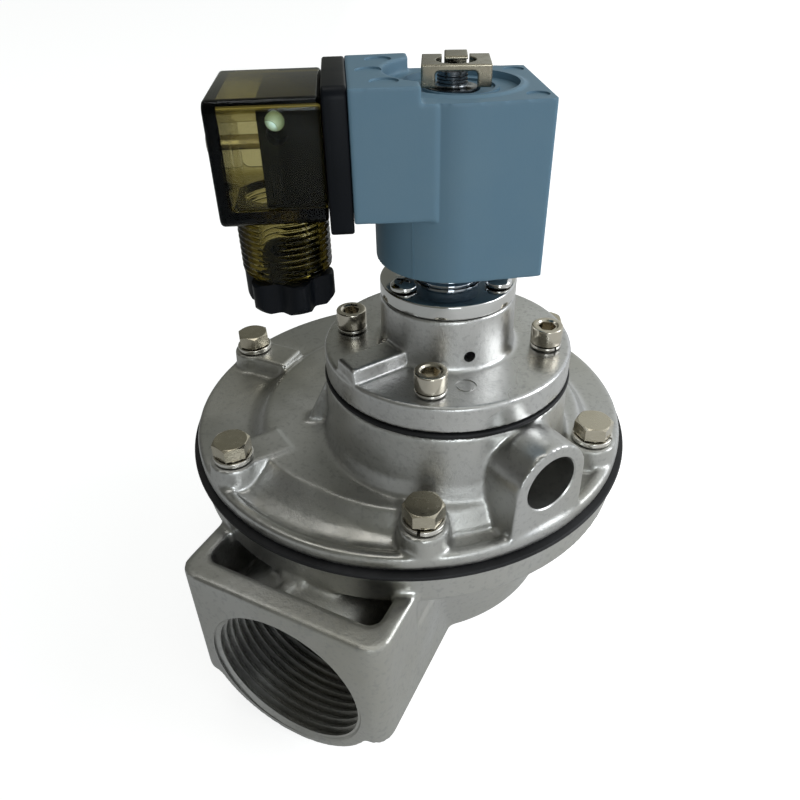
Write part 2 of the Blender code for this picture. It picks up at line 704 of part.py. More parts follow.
# second diaphragm
second_web_outer = ring_chamber_radius - 0.5
second_rim = revolve("second_diaphragm_rim", [
    (second_web_outer + gap, second_sheet_z), (second_sheet_radius, second_sheet_z),
    (second_sheet_radius, second_sheet_z + second_sheet),
    (second_web_outer + gap, second_sheet_z + second_sheet)], rubber, pilot_frame, round_steps)
second_holes = prism("second_rim_cutter", [
    circle(cap_screw_radius + gap, x, y, 8) for x, y in cap_screw_places], second_sheet_z - 2,
    second_sheet_z + 3, frame=pilot_frame)
cut(second_rim, second_holes)
second_disc_z = second_seat_z + gap
second_disc_top = second_disc_z + second_disc_height
second_web_inner = second_disc_radius + gap
second_web_z = second_disc_z + 0.4
second_web = revolve("second_diaphragm_web", [
    (second_web_inner, second_web_z), (second_web_inner + 1.5, second_web_z),
    (second_web_outer - 1.2, second_sheet_z), (second_web_outer, second_sheet_z),
    (second_web_outer, second_sheet_z + second_sheet),
    (second_web_outer - 1.8, second_sheet_z + second_sheet),
    (second_web_inner + 1.0, second_web_z + second_sheet),
    (second_web_inner, second_web_z + second_sheet)], rubber, pilot_frame, hidden_steps)
second_disc = revolve("second_disc", [
    (0, second_disc_z), (second_disc_radius, second_disc_z), (second_disc_radius, second_disc_top),
    (0, second_disc_top)], rubber, pilot_frame, hidden_steps)
second_plate_z = second_disc_top + gap
second_plate_top = second_plate_z + spring_seat_height
second_plate = revolve("second_disc_plate", [
    (0, second_plate_z), (second_plate_radius, second_plate_z), (second_plate_radius, second_plate_top),
    (second_hub_radius, second_plate_top), (second_hub_radius, second_plate_top + spring_seat_height),
    (0, second_plate_top + spring_seat_height)], steel, pilot_frame, hidden_steps)
coil_spring("second_spring", second_spring_radius, second_spring_wire, second_plate_top + gap,
            cap_hollow_z - gap, 3, pilot_frame)

# pilot cap
cap = revolve("pilot_cap", [
    (0, cap_z), (pot_radius, cap_z), (pot_radius, cap_top_z - 0.7), (pot_radius - 0.7, cap_top_z),
    (collar_radius + 1.0, cap_top_z), (collar_radius, cap_top_z + 1.0), (collar_radius, collar_top_z - 0.5),
    (collar_radius - 0.5, collar_top_z), (0, collar_top_z)], cast, pilot_frame)
cap_rib = prism("cap_rib_guide", [rounded_rectangle(
    cap_rib_offset - cap_rib_half_width, cap_rib_offset + cap_rib_half_width,
    -pot_radius + 0.8, -collar_radius + 2, 0.8, 2)], cap_top_z - 2, cap_top_z + cap_rib_height,
    frame=pilot_frame)
join(cap, cap_rib)
cap_hollow = revolve("cap_hollow_cutter", [
    (0, cap_z - 2), (cap_hollow_radius, cap_z - 2), (cap_hollow_radius, cap_z),
    (cap_hollow_radius - 2, cap_hollow_z), (0, cap_hollow_z)], frame=pilot_frame, steps=medium_steps)
orifice_seat_z = recess_floor + orifice_seat_height
pilot_recess = revolve("pilot_recess_cutter", [
    (recess_inner, recess_floor), (recess_radius, recess_floor), (recess_radius, collar_top_z + 2),
    (0, collar_top_z + 2), (0, orifice_seat_z), (orifice_seat_radius, orifice_seat_z)],
    frame=pilot_frame, steps=medium_steps)
pilot_drop = prism("pilot_orifice_cutter", [circle(orifice_radius, count=8)], bleed_z, collar_top_z,
                   frame=pilot_frame)
bleed = prism("bleed_cutter", [circle(bleed_radius, 0, bleed_z, 10)], 0, collar_radius + 2,
              frame=pilot_frame, axis="X")
bleed.rotation_euler.z = bleed_angle
feed = prism("pilot_feed_cutter", [circle(feed_radius, -feed_place, 0, 8)], cap_hollow_z - 1,
             recess_floor + 1, frame=pilot_frame)
cap_holes = prism("cap_screw_cutter", [circle(cap_screw_radius + gap, x, y, 8) for x, y in cap_screw_places],
                  cap_z - 2, cap_top_z + 2, frame=pilot_frame)
plate_places = around(3, plate_screw_circle, radians(30))
collar_holes = prism("collar_screw_cutter", [
    circle(plate_screw_radius + gap, x, y, 8) for x, y in plate_places], collar_top_z - 7, collar_top_z + 2,
    frame=pilot_frame)
cut(cap, cap_hollow, pilot_recess, pilot_drop, bleed, feed, cap_holes, collar_holes)

cap_washer_z = cap_top_z + gap
cap_head_z = cap_washer_z + cap_washer_height + gap
cap_head_top = cap_head_z + cap_screw_head_height
for i, (x, y) in enumerate(cap_screw_places):
    lock_washer(f"cap_washer_{i + 1}", cap_screw_head, cap_screw_radius + gap, cap_washer_z,
                cap_washer_height, x, y, pilot_frame, i)
    screw = loft(f"cap_screw_{i + 1}", [
        ring(cap_screw_radius, pot_top_z - 7), ring(cap_screw_radius, cap_head_z),
        ring(cap_screw_head, cap_head_z), ring(cap_screw_head, cap_head_top - 0.5),
        ring(cap_screw_head - 0.5, cap_head_top), ring(cap_screw_key / 2 + 0.5, cap_head_top),
        polygon_ring(cap_screw_key, 6, cap_head_top - 0.3),
        polygon_ring(cap_screw_key, 6, cap_head_top - 2.4)], steel, pilot_frame)
    screw.location = (x * mm, y * mm, 0)

# pilot plate, core tube and plunger
revolve("pilot_seal", [
    (tube_base_radius + 0.2, recess_floor + gap), (recess_radius - gap, recess_floor + gap),
    (recess_radius - gap, collar_top_z), (tube_base_radius + 0.2, collar_top_z)],
    rubber, pilot_frame, hidden_steps)
plate_inner = tube_base_radius - 0.9
plate = revolve("pilot_plate", [
    (plate_inner, plate_z), (collar_radius - 0.4, plate_z), (collar_radius, plate_z + 0.4),
    (collar_radius, plate_top_z - 0.4), (collar_radius - 0.4, plate_top_z),
    (tube_base_radius + gap, plate_top_z), (tube_base_radius + gap, plate_z + plate_step),
    (plate_inner, plate_z + plate_step)],
    nickel, pilot_frame, medium_steps)
plate_holes = prism("plate_screw_cutter", [
    circle(plate_screw_radius + gap, x, y, 8) for x, y in plate_places], plate_z - 2, plate_top_z + 2,
    frame=pilot_frame)
cut(plate, plate_holes)
plate_head_z = plate_top_z + gap
for i, (x, y) in enumerate(plate_places):
    screw = loft(f"plate_screw_{i + 1}", [
        ring(plate_screw_radius, collar_top_z - 5.5), ring(plate_screw_radius, plate_head_z),
        ring(plate_screw_head, plate_head_z), ring(plate_screw_head, plate_head_z + plate_screw_height / 2),
        ring(plate_screw_head - 0.7, plate_head_z + plate_screw_height - 0.2),
        ring(1.1, plate_head_z + plate_screw_height), ring(0.7, plate_head_z + plate_screw_height - 1.0)],
        nickel, pilot_frame)
    screw.location = (x * mm, y * mm, 0)

tube_low = plate_z + plate_step + gap
tube_end_z = coil_top_z - 3.0
revolve("core_tube", [
    (tube_bore, tube_low), (tube_base_radius, tube_low), (tube_base_radius, coil_bottom_z - 1.6),
    (tube_base_radius - 0.6, coil_bottom_z - 1.0), (tube_radius, coil_bottom_z - 1.0),
    (tube_radius, tube_end_z - 0.5), (tube_radius - 0.5, tube_end_z), (tube_bore, tube_end_z)],
    chrome, pilot_frame, medium_steps)
plug_z = coil_top_z - core_depth
plunger_radius = tube_bore - gap
core_radius = tube_radius - gap
core_neck = tube_radius - 1.5
clip_z = coil_top_z + clip_lift
revolve("fixed_core", [
    (0, plug_z), (plunger_radius, plug_z), (plunger_radius, tube_end_z + gap),
    (core_radius, tube_end_z + gap), (core_radius, clip_z - gap), (core_neck, clip_z - gap),
    (core_neck, clip_z + clip_sheet + gap), (core_radius, clip_z + clip_sheet + gap),
    (core_radius, tube_top_z - 0.6), (core_radius - 0.6, tube_top_z), (0, tube_top_z)],
    steel, pilot_frame, small_steps)
plunger_z = orifice_seat_z + gap
plunger_top = plug_z - gap - plunger_stroke
pocket_z = plunger_top - plunger_pocket
pocket_radius = plunger_spring_radius + 0.7
seal_top = plunger_z + orifice_seat_height
revolve("plunger", [
    (plunger_seal_radius + gap, plunger_z + 0.4), (plunger_radius, plunger_z + 0.4),
    (plunger_radius, plunger_top), (pocket_radius, plunger_top), (pocket_radius, pocket_z), (0, pocket_z),
    (0, seal_top + gap), (plunger_seal_radius + gap, seal_top + gap)], steel, pilot_frame, small_steps)
revolve("plunger_seal", [
    (0, plunger_z), (plunger_seal_radius, plunger_z), (plunger_seal_radius, seal_top), (0, seal_top)],
    rubber, pilot_frame, small_steps)
coil_spring("plunger_spring", plunger_spring_radius, plunger_spring_wire, pocket_z + gap, plug_z - gap, 5,
            pilot_frame)

# solenoid coil
plan = circle(coil_radius, 0, 0, 25, pi / 2, 3 * pi / 2)
plan += [(coil_end, -coil_radius), (coil_end, coil_radius)]
coil = prism("coil_shell", [plan], coil_bottom_z, coil_top_z, moulding, coil_frame)
lug = prism("lug_guide", [rectangle(-lug_face, -2.6, -lug_half_width, lug_half_width)],
            lug_bottom_z, coil_top_z - 0.4, frame=coil_frame)
lug_cap = prism("lug_cap_guide", [[
    (-lug_face, lug_bottom_z + 3), (-lug_step - 3, lug_bottom_z + 3), (-lug_step, coil_top_z - 1),
    (-lug_step, lug_top_z - 0.8), (-lug_step - 0.8, lug_top_z), (-lug_face, lug_top_z)]],
    -lug_half_width, lug_half_width, frame=coil_frame, axis="Y")
join(coil, lug, lug_cap)
top_groove = revolve("top_groove_cutter", [
    (groove_inner, coil_top_z - groove_depth), (groove_outer, coil_top_z - groove_depth),
    (groove_outer, lug_top_z + 5), (0, lug_top_z + 5), (0, coil_top_z - 0.2),
    (groove_inner, coil_top_z - 0.2)], frame=coil_frame, steps=medium_steps)
coil_bore = prism("coil_bore_cutter", [circle(tube_radius + gap, count=medium_steps)],
                  coil_bottom_z - 1, coil_top_z + 1, frame=coil_frame)
screw_hole = prism("lug_screw_cutter", [circle(screw_hole_radius, 0, terminal_z, 10)], -lug_face - 1,
                   -lug_face + 6, frame=coil_frame, axis="X")
blade_places = [(0.0, terminal_z - blade_drop, blade_half_width, blade_half_thickness),
                (-blade_spread, terminal_z + blade_rise, blade_half_thickness, blade_half_width),
                (blade_spread, terminal_z + blade_rise, blade_half_thickness, blade_half_width)]
slots = [rectangle(y - half_y - gap, y + half_y + gap, z - half_z - gap, z + half_z + gap)
         for y, z, half_y, half_z in blade_places]
blade_slots = prism("blade_slot_cutter", slots, -lug_face - 1, -lug_face + blade_root + gap,
                    frame=coil_frame, axis="X")
stamps = prism("stamp_cutter", [circle(stamp_radius, x, y, 14) for x, y in stamp_places],
               lug_top_z - 0.5, lug_top_z + 1, frame=coil_frame)
cut(coil, top_groove, coil_bore, screw_hole, blade_slots, stamps)
for i, (y, z, half_y, half_z) in enumerate(blade_places):
    prism(f"terminal_blade_{i + 1}", [rectangle(y - half_y, y + half_y, z - half_z, z + half_z)],
          -gasket_far - blade_reach, -lug_face + blade_root, brass, coil_frame, "X")

# retaining clip
clip_slot = core_neck + gap
clip = prism("retaining_clip", [
    [(-clip_half_width, -clip_front), (-clip_slot, -clip_front)] + circle(clip_slot, 0, 0, 9, pi, 0)
    + [(clip_slot, -clip_front), (clip_half_width, -clip_front), (clip_half_width, clip_back),
       (-clip_half_width, clip_back)]], clip_z, clip_z + clip_sheet, nickel, coil_frame)
clip.rotation_euler.z = clip_turn
tab_starts = (-clip_half_width, -clip_tab_width / 2, clip_half_width - clip_tab_width)
clip_tabs = prism("clip_tab_guide", [
    rectangle(x, x + clip_tab_width, clip_back - clip_sheet, clip_back) for x in tab_starts],
    clip_z, clip_z + clip_tab_height, frame=coil_frame)
clip_tabs.rotation_euler.z = clip_turn
join(clip, clip_tabs)

# connector
gasket = prism("connector_gasket", [rounded_rectangle(
    -gasket_half_width, gasket_half_width, gasket_bottom_z, gasket_top_z, 2.0, 3)],
    -gasket_far, -gasket_near, rubber, coil_frame, "X")
gasket_holes = prism("gasket_blade_cutter", slots + [circle(screw_hole_radius + 0.2, 0, terminal_z, 10)],
                     -gasket_far - 1, -gasket_near + 1, frame=coil_frame, axis="X")
cut(gasket, gasket_holes)

housing = prism("connector_housing", [rounded_rectangle(
    -shell_half_width, shell_half_width, shell_bottom_z, shell_top_z, 2.2, 3)],
    -shell_far, -shell_near, clear_plastic, coil_frame, "X")
neck_tool = revolve("housing_neck_guide", [
    (0, neck_bottom_z), (neck_radius - 0.7, neck_bottom_z), (neck_radius, neck_bottom_z + 0.7),
    (neck_radius, shell_bottom_z + 0.5), (0, shell_bottom_z + 0.5)], frame=coil_frame, steps=medium_steps)
neck_tool.location.x = -neck_offset * mm
join(housing, neck_tool)
inside_half = shell_half_width - shell_wall
inside_low = shell_bottom_z + shell_wall
inside_high = shell_top_z - shell_wall
housing_hollow = prism("housing_hollow_cutter", [rounded_rectangle(
    -inside_half, inside_half, inside_low, inside_high, 1.2, 2)],
    -shell_far + shell_wall, -shell_near + 1, frame=coil_frame, axis="X")
gland_radius = neck_radius - neck_wall
gland_bore = prism("gland_bore_cutter", [circle(gland_radius, -neck_offset, 0, hidden_steps)],
                   neck_bottom_z - 1, shell_bottom_z + 5, frame=coil_frame)
tail_hole = prism("housing_screw_cutter", [circle(screw_hole_radius, 0, terminal_z, 10)], -shell_far - 1,
                  -shell_far + 4, frame=coil_frame, axis="X")
cut(housing, housing_hollow, gland_bore, tail_hole)

block_near = gasket_far + gap
block_far = block_near + block_length
block = prism("terminal_block", [rounded_rectangle(
    -inside_half + gap, inside_half - gap, inside_low + gap + 0.6, inside_high - gap, 1.0, 2)],
    -block_far, -block_near, black_plastic, coil_frame, "X")
block_cuts = prism("block_blade_cutter", slots, -gasket_far - blade_reach - gap, -block_near + 1,
                   frame=coil_frame, axis="X")
block_hole = prism("block_screw_cutter", [circle(screw_hole_radius, 0, terminal_z, 10)], -block_far - 1,
                   -block_near + 1, frame=coil_frame, axis="X")
lamp_x, lamp_y, lamp_z = -block_near - lamp_inset, -shell_half_width + lamp_depth, shell_top_z - lamp_drop
lamp_seat = prism("lamp_seat_cutter", [circle(lamp_radius + gap, lamp_x, lamp_z, 16)],
                  -shell_half_width, lamp_y, frame=coil_frame, axis="Y")
cut(block, block_cuts, block_hole, lamp_seat)
lamp = revolve("indicator_lamp", [
    (0, 0), (lamp_radius, 0), (lamp_radius, 2.6), (lamp_radius - 0.4, 3.3), (0, 3.6)],
    lamp_plastic, coil_frame, 10)
lamp.location = (lamp_x * mm, (lamp_y - gap) * mm, lamp_z * mm)
lamp.rotation_euler.x = pi / 2

screw = loft("connector_screw", [
    ring(connector_screw_radius, lug_face - 5.4), ring(connector_screw_radius, shell_far + gap),
    ring(connector_screw_head, shell_far + gap), ring(connector_screw_head, shell_far + 1.6),
    ring(connector_screw_head - 0.5, shell_far + 2.1), ring(0.9, shell_far + 2.1),
    ring(0.6, shell_far + 1.3)], steel, coil_frame)
screw.location.z = terminal_z * mm
screw.rotation_euler.y = -pi / 2

grommet_top = neck_bottom_z + 5.5
grommet = revolve("gland_grommet", [
    (cable_radius, neck_bottom_z + gap), (gland_radius - gap, neck_bottom_z + gap),
    (gland_radius - gap, grommet_top), (cable_radius, grommet_top)], rubber, coil_frame, small_steps)
grommet.location.x = -neck_offset * mm
nut_low = neck_bottom_z - nut_reach - gap
nut_points = 24


def nut_ring(radius, lobe, z):
    """A ring with six lobes for the fingers."""
    points = []
    for i in range(nut_points):
        a = 2 * pi * i / nut_points
        r = radius + lobe * cos(6 * a)
        points.append((r * cos(a), r * sin(a), z))
    return points


nut = loft("gland_nut", [
    nut_ring(neck_radius - 2.8, 0.0, nut_low), nut_ring(neck_radius - 0.4, 0.25, nut_low),
    nut_ring(neck_radius + 0.4, 0.5, nut_low + 1.0), nut_ring(neck_radius + 1.0, 0.5, nut_low + nut_height)],
    black_plastic, coil_frame)
nut.location.x = -neck_offset * mm
nut_hole = revolve("nut_hole_cutter", [
    (0, nut_low - 1), (cable_radius + 0.6, nut_low - 1), (cable_radius + 0.6, neck_bottom_z - gap),
    (neck_radius + gap, neck_bottom_z - gap), (neck_radius + gap, nut_low + nut_height + 1),
    (0, nut_low + nut_height + 1)], frame=coil_frame, steps=nut_points)
nut_hole.location.x = -neck_offset * mm
cut(nut, nut_hole)
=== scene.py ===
import bpy
import bmesh
from math import sin, cos, tan, pi, radians, sqrt, atan2, hypot
from mathutils import Matrix, Vector


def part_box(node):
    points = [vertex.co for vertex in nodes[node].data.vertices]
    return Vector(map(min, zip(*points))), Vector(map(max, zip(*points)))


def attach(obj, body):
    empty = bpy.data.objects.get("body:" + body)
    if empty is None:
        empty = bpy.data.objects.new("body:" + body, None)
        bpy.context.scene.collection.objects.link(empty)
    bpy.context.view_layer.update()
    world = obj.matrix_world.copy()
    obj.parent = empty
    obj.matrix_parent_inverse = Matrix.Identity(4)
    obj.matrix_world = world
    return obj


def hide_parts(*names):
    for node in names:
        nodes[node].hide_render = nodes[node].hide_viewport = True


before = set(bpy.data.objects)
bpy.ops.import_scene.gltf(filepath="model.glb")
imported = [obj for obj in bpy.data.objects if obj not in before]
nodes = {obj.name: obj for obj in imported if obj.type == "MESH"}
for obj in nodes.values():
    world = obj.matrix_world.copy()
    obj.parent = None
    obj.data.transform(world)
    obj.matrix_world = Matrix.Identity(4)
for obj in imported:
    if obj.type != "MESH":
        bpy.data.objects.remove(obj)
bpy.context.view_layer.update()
scene = bpy.context.scene

# pieces are modelled in millimetres and become metres when they are finished
mm = 0.001
pilotAngle = radians(-30)          # direction of the exhaust
coilAngle = radians(31)            # the connector points the other way
here = Matrix.Identity(4)


def nodeBox(name):
    low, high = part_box(name)
    return [v / mm for v in low], [v / mm for v in high]


def heights(name):
    low, high = nodeBox(name)
    return low[2], high[2]


def moved(x, y=0.0, z=0.0):
    return Matrix.Translation((x, y, z))


def turned(angle, axis="Z"):
    return Matrix.Rotation(angle, 4, axis)


plateLow, plateHigh = nodeBox("pilot_plate")
pilotShift = hypot(plateLow[0] + plateHigh[0], plateLow[1] + plateHigh[1]) / 2     # body's axis to pilot's
exhaustPlace = turned(pilotAngle)
pilotPlace = exhaustPlace @ moved(pilotShift)
coilPlace = moved(*pilotPlace.translation) @ turned(coilAngle)


# Modelling helpers

def filleted(points, steps=5, closed=True):
    # a point with a third value gets a round corner of that radius
    out = []
    count = len(points)
    for i, point in enumerate(points):
        x, y = point[:2]
        radius = point[2] if len(point) > 2 else 0
        if not radius or (not closed and i in (0, count - 1)):
            out.append((x, y))
            continue
        back = (Vector(points[i - 1][:2]) - Vector((x, y))).normalized()
        ahead = (Vector(points[(i + 1) % count][:2]) - Vector((x, y))).normalized()
        half = back.angle(ahead) / 2
        centre = Vector((x, y)) + (back + ahead).normalized() * (radius / sin(half))
        first = Vector((x, y)) + back * (radius / tan(half)) - centre
        last = Vector((x, y)) + ahead * (radius / tan(half)) - centre
        start = atan2(first.y, first.x)
        turn = (atan2(last.y, last.x) - start + pi) % (2 * pi) - pi
        for k in range(steps + 1):
            a = start + turn * k / steps
            out.append((centre.x + radius * cos(a), centre.y + radius * sin(a)))
    return out


def arc(radius, start, end, steps, x=0.0, y=0.0):
    return [(x + radius * cos(start + (end - start) * k / steps),
             y + radius * sin(start + (end - start) * k / steps)) for k in range(steps + 1)]


def discOutline(radius, x=0.0, y=0.0, steps=32, start=0.0):
    # a closed circle, also used for places spread evenly round one
    return arc(radius, start, start + 2 * pi, steps, x, y)[:-1]


def cone(lowRadius, low, highRadius, high):
    return [(0, low), (lowRadius, low), (highRadius, high), (0, high)]


def rounded(x0, x1, y0, y1, radius=0.0, steps=6):
    return filleted([(x0, y0, radius), (x1, y0, radius), (x1, y1, radius), (x0, y1, radius)], steps)


def hexagon(flats):
    return discOutline(flats / 2 / cos(pi / 6), steps=6)


def lathe(bm, profile, steps=96, start=0.0, turn=2 * pi, place=here):
    # a half section (radius, height) spun about Z
    before = set(bm.verts)
    points = [bm.verts.new((r * cos(start), r * sin(start), z)) for r, z in profile]
    full = turn > 2 * pi - 0.001
    if full:
        pairs = list(zip(points, points[1:]))
        if profile[0][0] > 0.001 or profile[-1][0] > 0.001:
            pairs.append((points[-1], points[0]))
        shape = points + [bm.edges.new(pair) for pair in pairs]
    else:
        shape = [bm.faces.new(points)]
    bmesh.ops.spin(bm, geom=shape, cent=(0, 0, 0), axis=(0, 0, 1), angle=turn, steps=steps, use_merge=full)
    bmesh.ops.remove_doubles(bm, verts=[v for v in bm.verts if v not in before], dist=0.0005)
    bmesh.ops.transform(bm, matrix=place, verts=[v for v in bm.verts if v not in before])


def slab(bm, outline, low, high, place=here, axis="Z"):
    # an outline raised along Z, or along X or Y with the outline in the other two axes
    before = set(bm.verts)
    face = bm.faces.new([bm.verts.new((a, b, low)) for a, b in outline])
    raised = bmesh.ops.extrude_face_region(bm, geom=[face])
    top = [v for v in raised["geom"] if isinstance(v, bmesh.types.BMVert)]
    bmesh.ops.translate(bm, vec=(0, 0, high - low), verts=top)
    swap = {"Z": here, "X": Matrix(((0, 0, 1, 0), (1, 0, 0, 0), (0, 1, 0, 0), (0, 0, 0, 1))),
            "Y": Matrix(((1, 0, 0, 0), (0, 0, 1, 0), (0, 1, 0, 0), (0, 0, 0, 1)))}[axis]
    bmesh.ops.transform(bm, matrix=place @ swap, verts=[v for v in bm.verts if v not in before])


def softenEdges(bm, width, segments):
    bmesh.ops.recalc_face_normals(bm, faces=bm.faces)
    sharp = [e for e in bm.edges if e.calc_face_angle(0) > radians(60)]
    bmesh.ops.bevel(bm, geom=sharp, offset=width, segments=segments, profile=0.5, affect="EDGES", material=-1,
                    clamp_overlap=True)


def makeObject(name, bm):
    bmesh.ops.recalc_face_normals(bm, faces=bm.faces)
    mesh = bpy.data.meshes.new(name)
    bm.to_mesh(mesh)
    bm.free()
    obj = bpy.data.objects.new(name, mesh)
    scene.collection.objects.link(obj)
    return obj


def latheObject(name, profile, steps=96, place=here, **more):
    bm = bmesh.new()
    lathe(bm, profile, steps, place=place, **more)
    return makeObject(name, bm)


def slabObject(name, outlines, low, high, place=here, axis="Z"):
    bm = bmesh.new()
    for outline in outlines:
        slab(bm, outline, low, high, place, axis)
    return makeObject(name, bm)


def drillsAt(name, places, radius, low, high, steps=16, place=here):
    return slabObject(name, [discOutline(radius, x, y, steps) for x, y in places], low, high, place)


def bake(obj):
    # the evaluated mesh takes the place of the mesh and its modifiers
    bpy.context.view_layer.update()
    mesh = bpy.data.meshes.new_from_object(obj.evaluated_get(bpy.context.evaluated_depsgraph_get()))
    obj.modifiers.clear()
    obj.data = mesh
    return obj


def drop(*objs):
    for obj in objs:
        bpy.data.objects.remove(obj, do_unlink=True)


def carve(target, *tools, operation="DIFFERENCE", solver="MANIFOLD"):
    for tool in tools:
        modifier = target.modifiers.new("carve", "BOOLEAN")
        modifier.operation = operation
        modifier.solver = solver
        modifier.object = tool
    bake(target)
    drop(*tools)


def fuse(name, parts, voxel, rounds):
    # overlapping blanks become one skin with softened edges and corners, as a casting has
    bm = bmesh.new()
    for part in parts:
        bm.from_mesh(part.data)
    obj = makeObject(name, bm)
    drop(*parts)
    remesh = obj.modifiers.new("skin", "REMESH")
    remesh.mode = "VOXEL"
    remesh.voxel_size = voxel
    smooth = obj.modifiers.new("soften", "SMOOTH")
    smooth.iterations = rounds
    return bake(obj)


def paint(obj, material):
    obj.data.materials.clear()
    obj.data.materials.append(material)


def finishPiece(obj, material, body, node, sharp=38, place=here):
    obj.data.transform(place)
    obj.data.transform(Matrix.Scale(mm, 4))
    paint(obj, material)
    obj.data.shade_smooth()
    obj.data.set_sharp_from_angle(angle=radians(sharp))
    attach(obj, body)
    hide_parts(node)


# Shader groups: each puts out a colour, a roughness and a normal that change over the surface

def addNode(tree, kind, values=None, **settings):
    node = tree.nodes.new("ShaderNode" + kind)
    for key, value in settings.items():
        setattr(node, key, value)
    return setInputs(tree, node, values or {})


def setInputs(tree, node, values):
    for key, value in values.items():
        if isinstance(value, bpy.types.NodeSocket):
            tree.links.new(value, node.inputs[key])
        else:
            node.inputs[key].default_value = value
    return node


def maths(tree, operation, *values, **settings):
    return addNode(tree, "Math", dict(enumerate(values)), operation=operation, **settings).outputs[0]


def noise(tree, place, scale, **values):
    return addNode(tree, "TexNoise", {"Vector": place, "Scale": scale, **values}).outputs[0]


def bump(tree, strength, distance, height, **values):
    return addNode(tree, "Bump", {"Strength": strength, "Distance": distance, "Height": height,
                                  **values}).outputs[0]


def mixColour(tree, fac, a, b):
    return addNode(tree, "Mix", {0: fac, 6: a, 7: b}, data_type="RGBA").outputs[2]


def span(tree, value, fromLow, fromHigh, toLow, toHigh):
    return addNode(tree, "MapRange", {0: value, 1: fromLow, 2: fromHigh, 3: toLow, 4: toHigh}).outputs[0]


def startGroup(name, values):
    group = bpy.data.node_groups.new(name, "ShaderNodeTree")
    for label, value in values.items():
        kind = "Float" if isinstance(value, float) else {3: "Vector", 4: "Color"}[len(value)]
        group.interface.new_socket(name=label, in_out="INPUT",
                                   socket_type="NodeSocket" + kind).default_value = value
    for label, kind in (("Colour", "Color"), ("Roughness", "Float"), ("Normal", "Vector")):
        group.interface.new_socket(name=label, in_out="OUTPUT", socket_type="NodeSocket" + kind)
    place = addNode(group, "TexCoord").outputs["Object"]
    return group, group.nodes.new("NodeGroupInput").outputs, place


def endGroup(group, colour, rough, normal):
    setInputs(group, group.nodes.new("NodeGroupOutput"), {"Colour": colour, "Roughness": rough,
                                                          "Normal": normal})
    return group


def makeCastGroup():
    # tumbled cast metal: soft waves, fine grain in patches, and a faint warm tarnish
    group, given, place = startGroup("castSkin", {
        "Light": (0.52, 0.52, 0.51, 1), "Warm": (0.42, 0.41, 0.36, 1), "Smooth Rough": 0.27,
        "Grainy Rough": 0.46, "Wave": 0.4, "Grain": 0.9})
    patches = span(group, noise(group, place, 34, Detail=3, Roughness=0.55), 0.4, 0.6, 0.15, 1)
    tarnish = span(group, noise(group, place, 19, Detail=4, Distortion=0.4), 0.4, 0.68, 0, 0.75)
    grain = noise(group, place, 1500, Detail=3, Roughness=0.7)
    specks = span(group, noise(group, place, 900, Detail=2), 0.54, 0.68, 0, 0.4)
    colour = mixColour(group, tarnish, given["Light"], given["Warm"])
    rough = addNode(group, "MapRange", {0: patches, 3: given["Smooth Rough"],
                                        4: given["Grainy Rough"]}).outputs[0]
    waves = bump(group, given["Wave"], 0.0003, noise(group, place, 190, Detail=2))
    normal = bump(group, maths(group, "MULTIPLY", patches, given["Grain"]), 0.00012, grain, Normal=waves)
    return endGroup(group, mixColour(group, specks, colour, (0.33, 0.33, 0.33, 1)), rough, normal)


def makePlateGroup():
    # plated or turned metal: fine marks that run one way, and small changes of gloss
    group, given, place = startGroup("turnedSkin", {
        "Tint": (0.7, 0.68, 0.62, 1), "Stain": (0.5, 0.46, 0.38, 1), "Stretch": (1, 1, 8), "Rough": 0.16,
        "Marks": 0.2})
    stretched = addNode(group, "VectorMath", {0: place, 1: given["Stretch"]}, operation="MULTIPLY").outputs[0]
    marks = noise(group, stretched, 700, Detail=3)
    stain = span(group, noise(group, place, 130, Detail=3), 0.45, 0.75, 0, 0.6)
    rough = maths(group, "ADD", given["Rough"], span(group, marks, 0.35, 0.7, -0.04, 0.1))
    return endGroup(group, mixColour(group, stain, given["Tint"], given["Stain"]), rough,
                    bump(group, given["Marks"], 0.00006, marks))


def makeMouldGroup():
    # moulded plastic or rubber: fine texture, faint flow marks and dust
    group, given, place = startGroup("mouldedSkin", {
        "Base": (0.1, 0.2, 0.27, 1), "Dust": (0.3, 0.33, 0.34, 1), "Dusty": 0.12, "Rough": 0.45,
        "Texture": 0.25})
    cloud = noise(group, place, 60, Detail=5, Roughness=0.6)
    dusty = maths(group, "MULTIPLY", span(group, cloud, 0.4, 0.75, 0, 1), given["Dusty"])
    rough = maths(group, "ADD", given["Rough"], span(group, cloud, 0.3, 0.7, -0.03, 0.08))
    return endGroup(group, mixColour(group, dusty, given["Base"], given["Dust"]), rough,
                    bump(group, given["Texture"], 0.00004, noise(group, place, 2200, Detail=2)))


castGroup = makeCastGroup()
plateGroup = makePlateGroup()
mouldGroup = makeMouldGroup()


def makeMaterial(name, group, values, **shaderValues):
    material = bpy.data.materials.new(name)
    material.use_nodes = True
    tree = material.node_tree
    skin = tree.nodes.new("ShaderNodeGroup")
    skin.node_tree = group
    setInputs(tree, skin, values)
    setInputs(tree, tree.nodes["Principled BSDF"], {
        "Base Color": skin.outputs["Colour"], "Roughness": skin.outputs["Roughness"],
        "Normal": skin.outputs["Normal"], "Metallic": 0.0 if group == mouldGroup else 1.0,
        **{key.replace("_", " "): value for key, value in shaderValues.items()}})
    return material


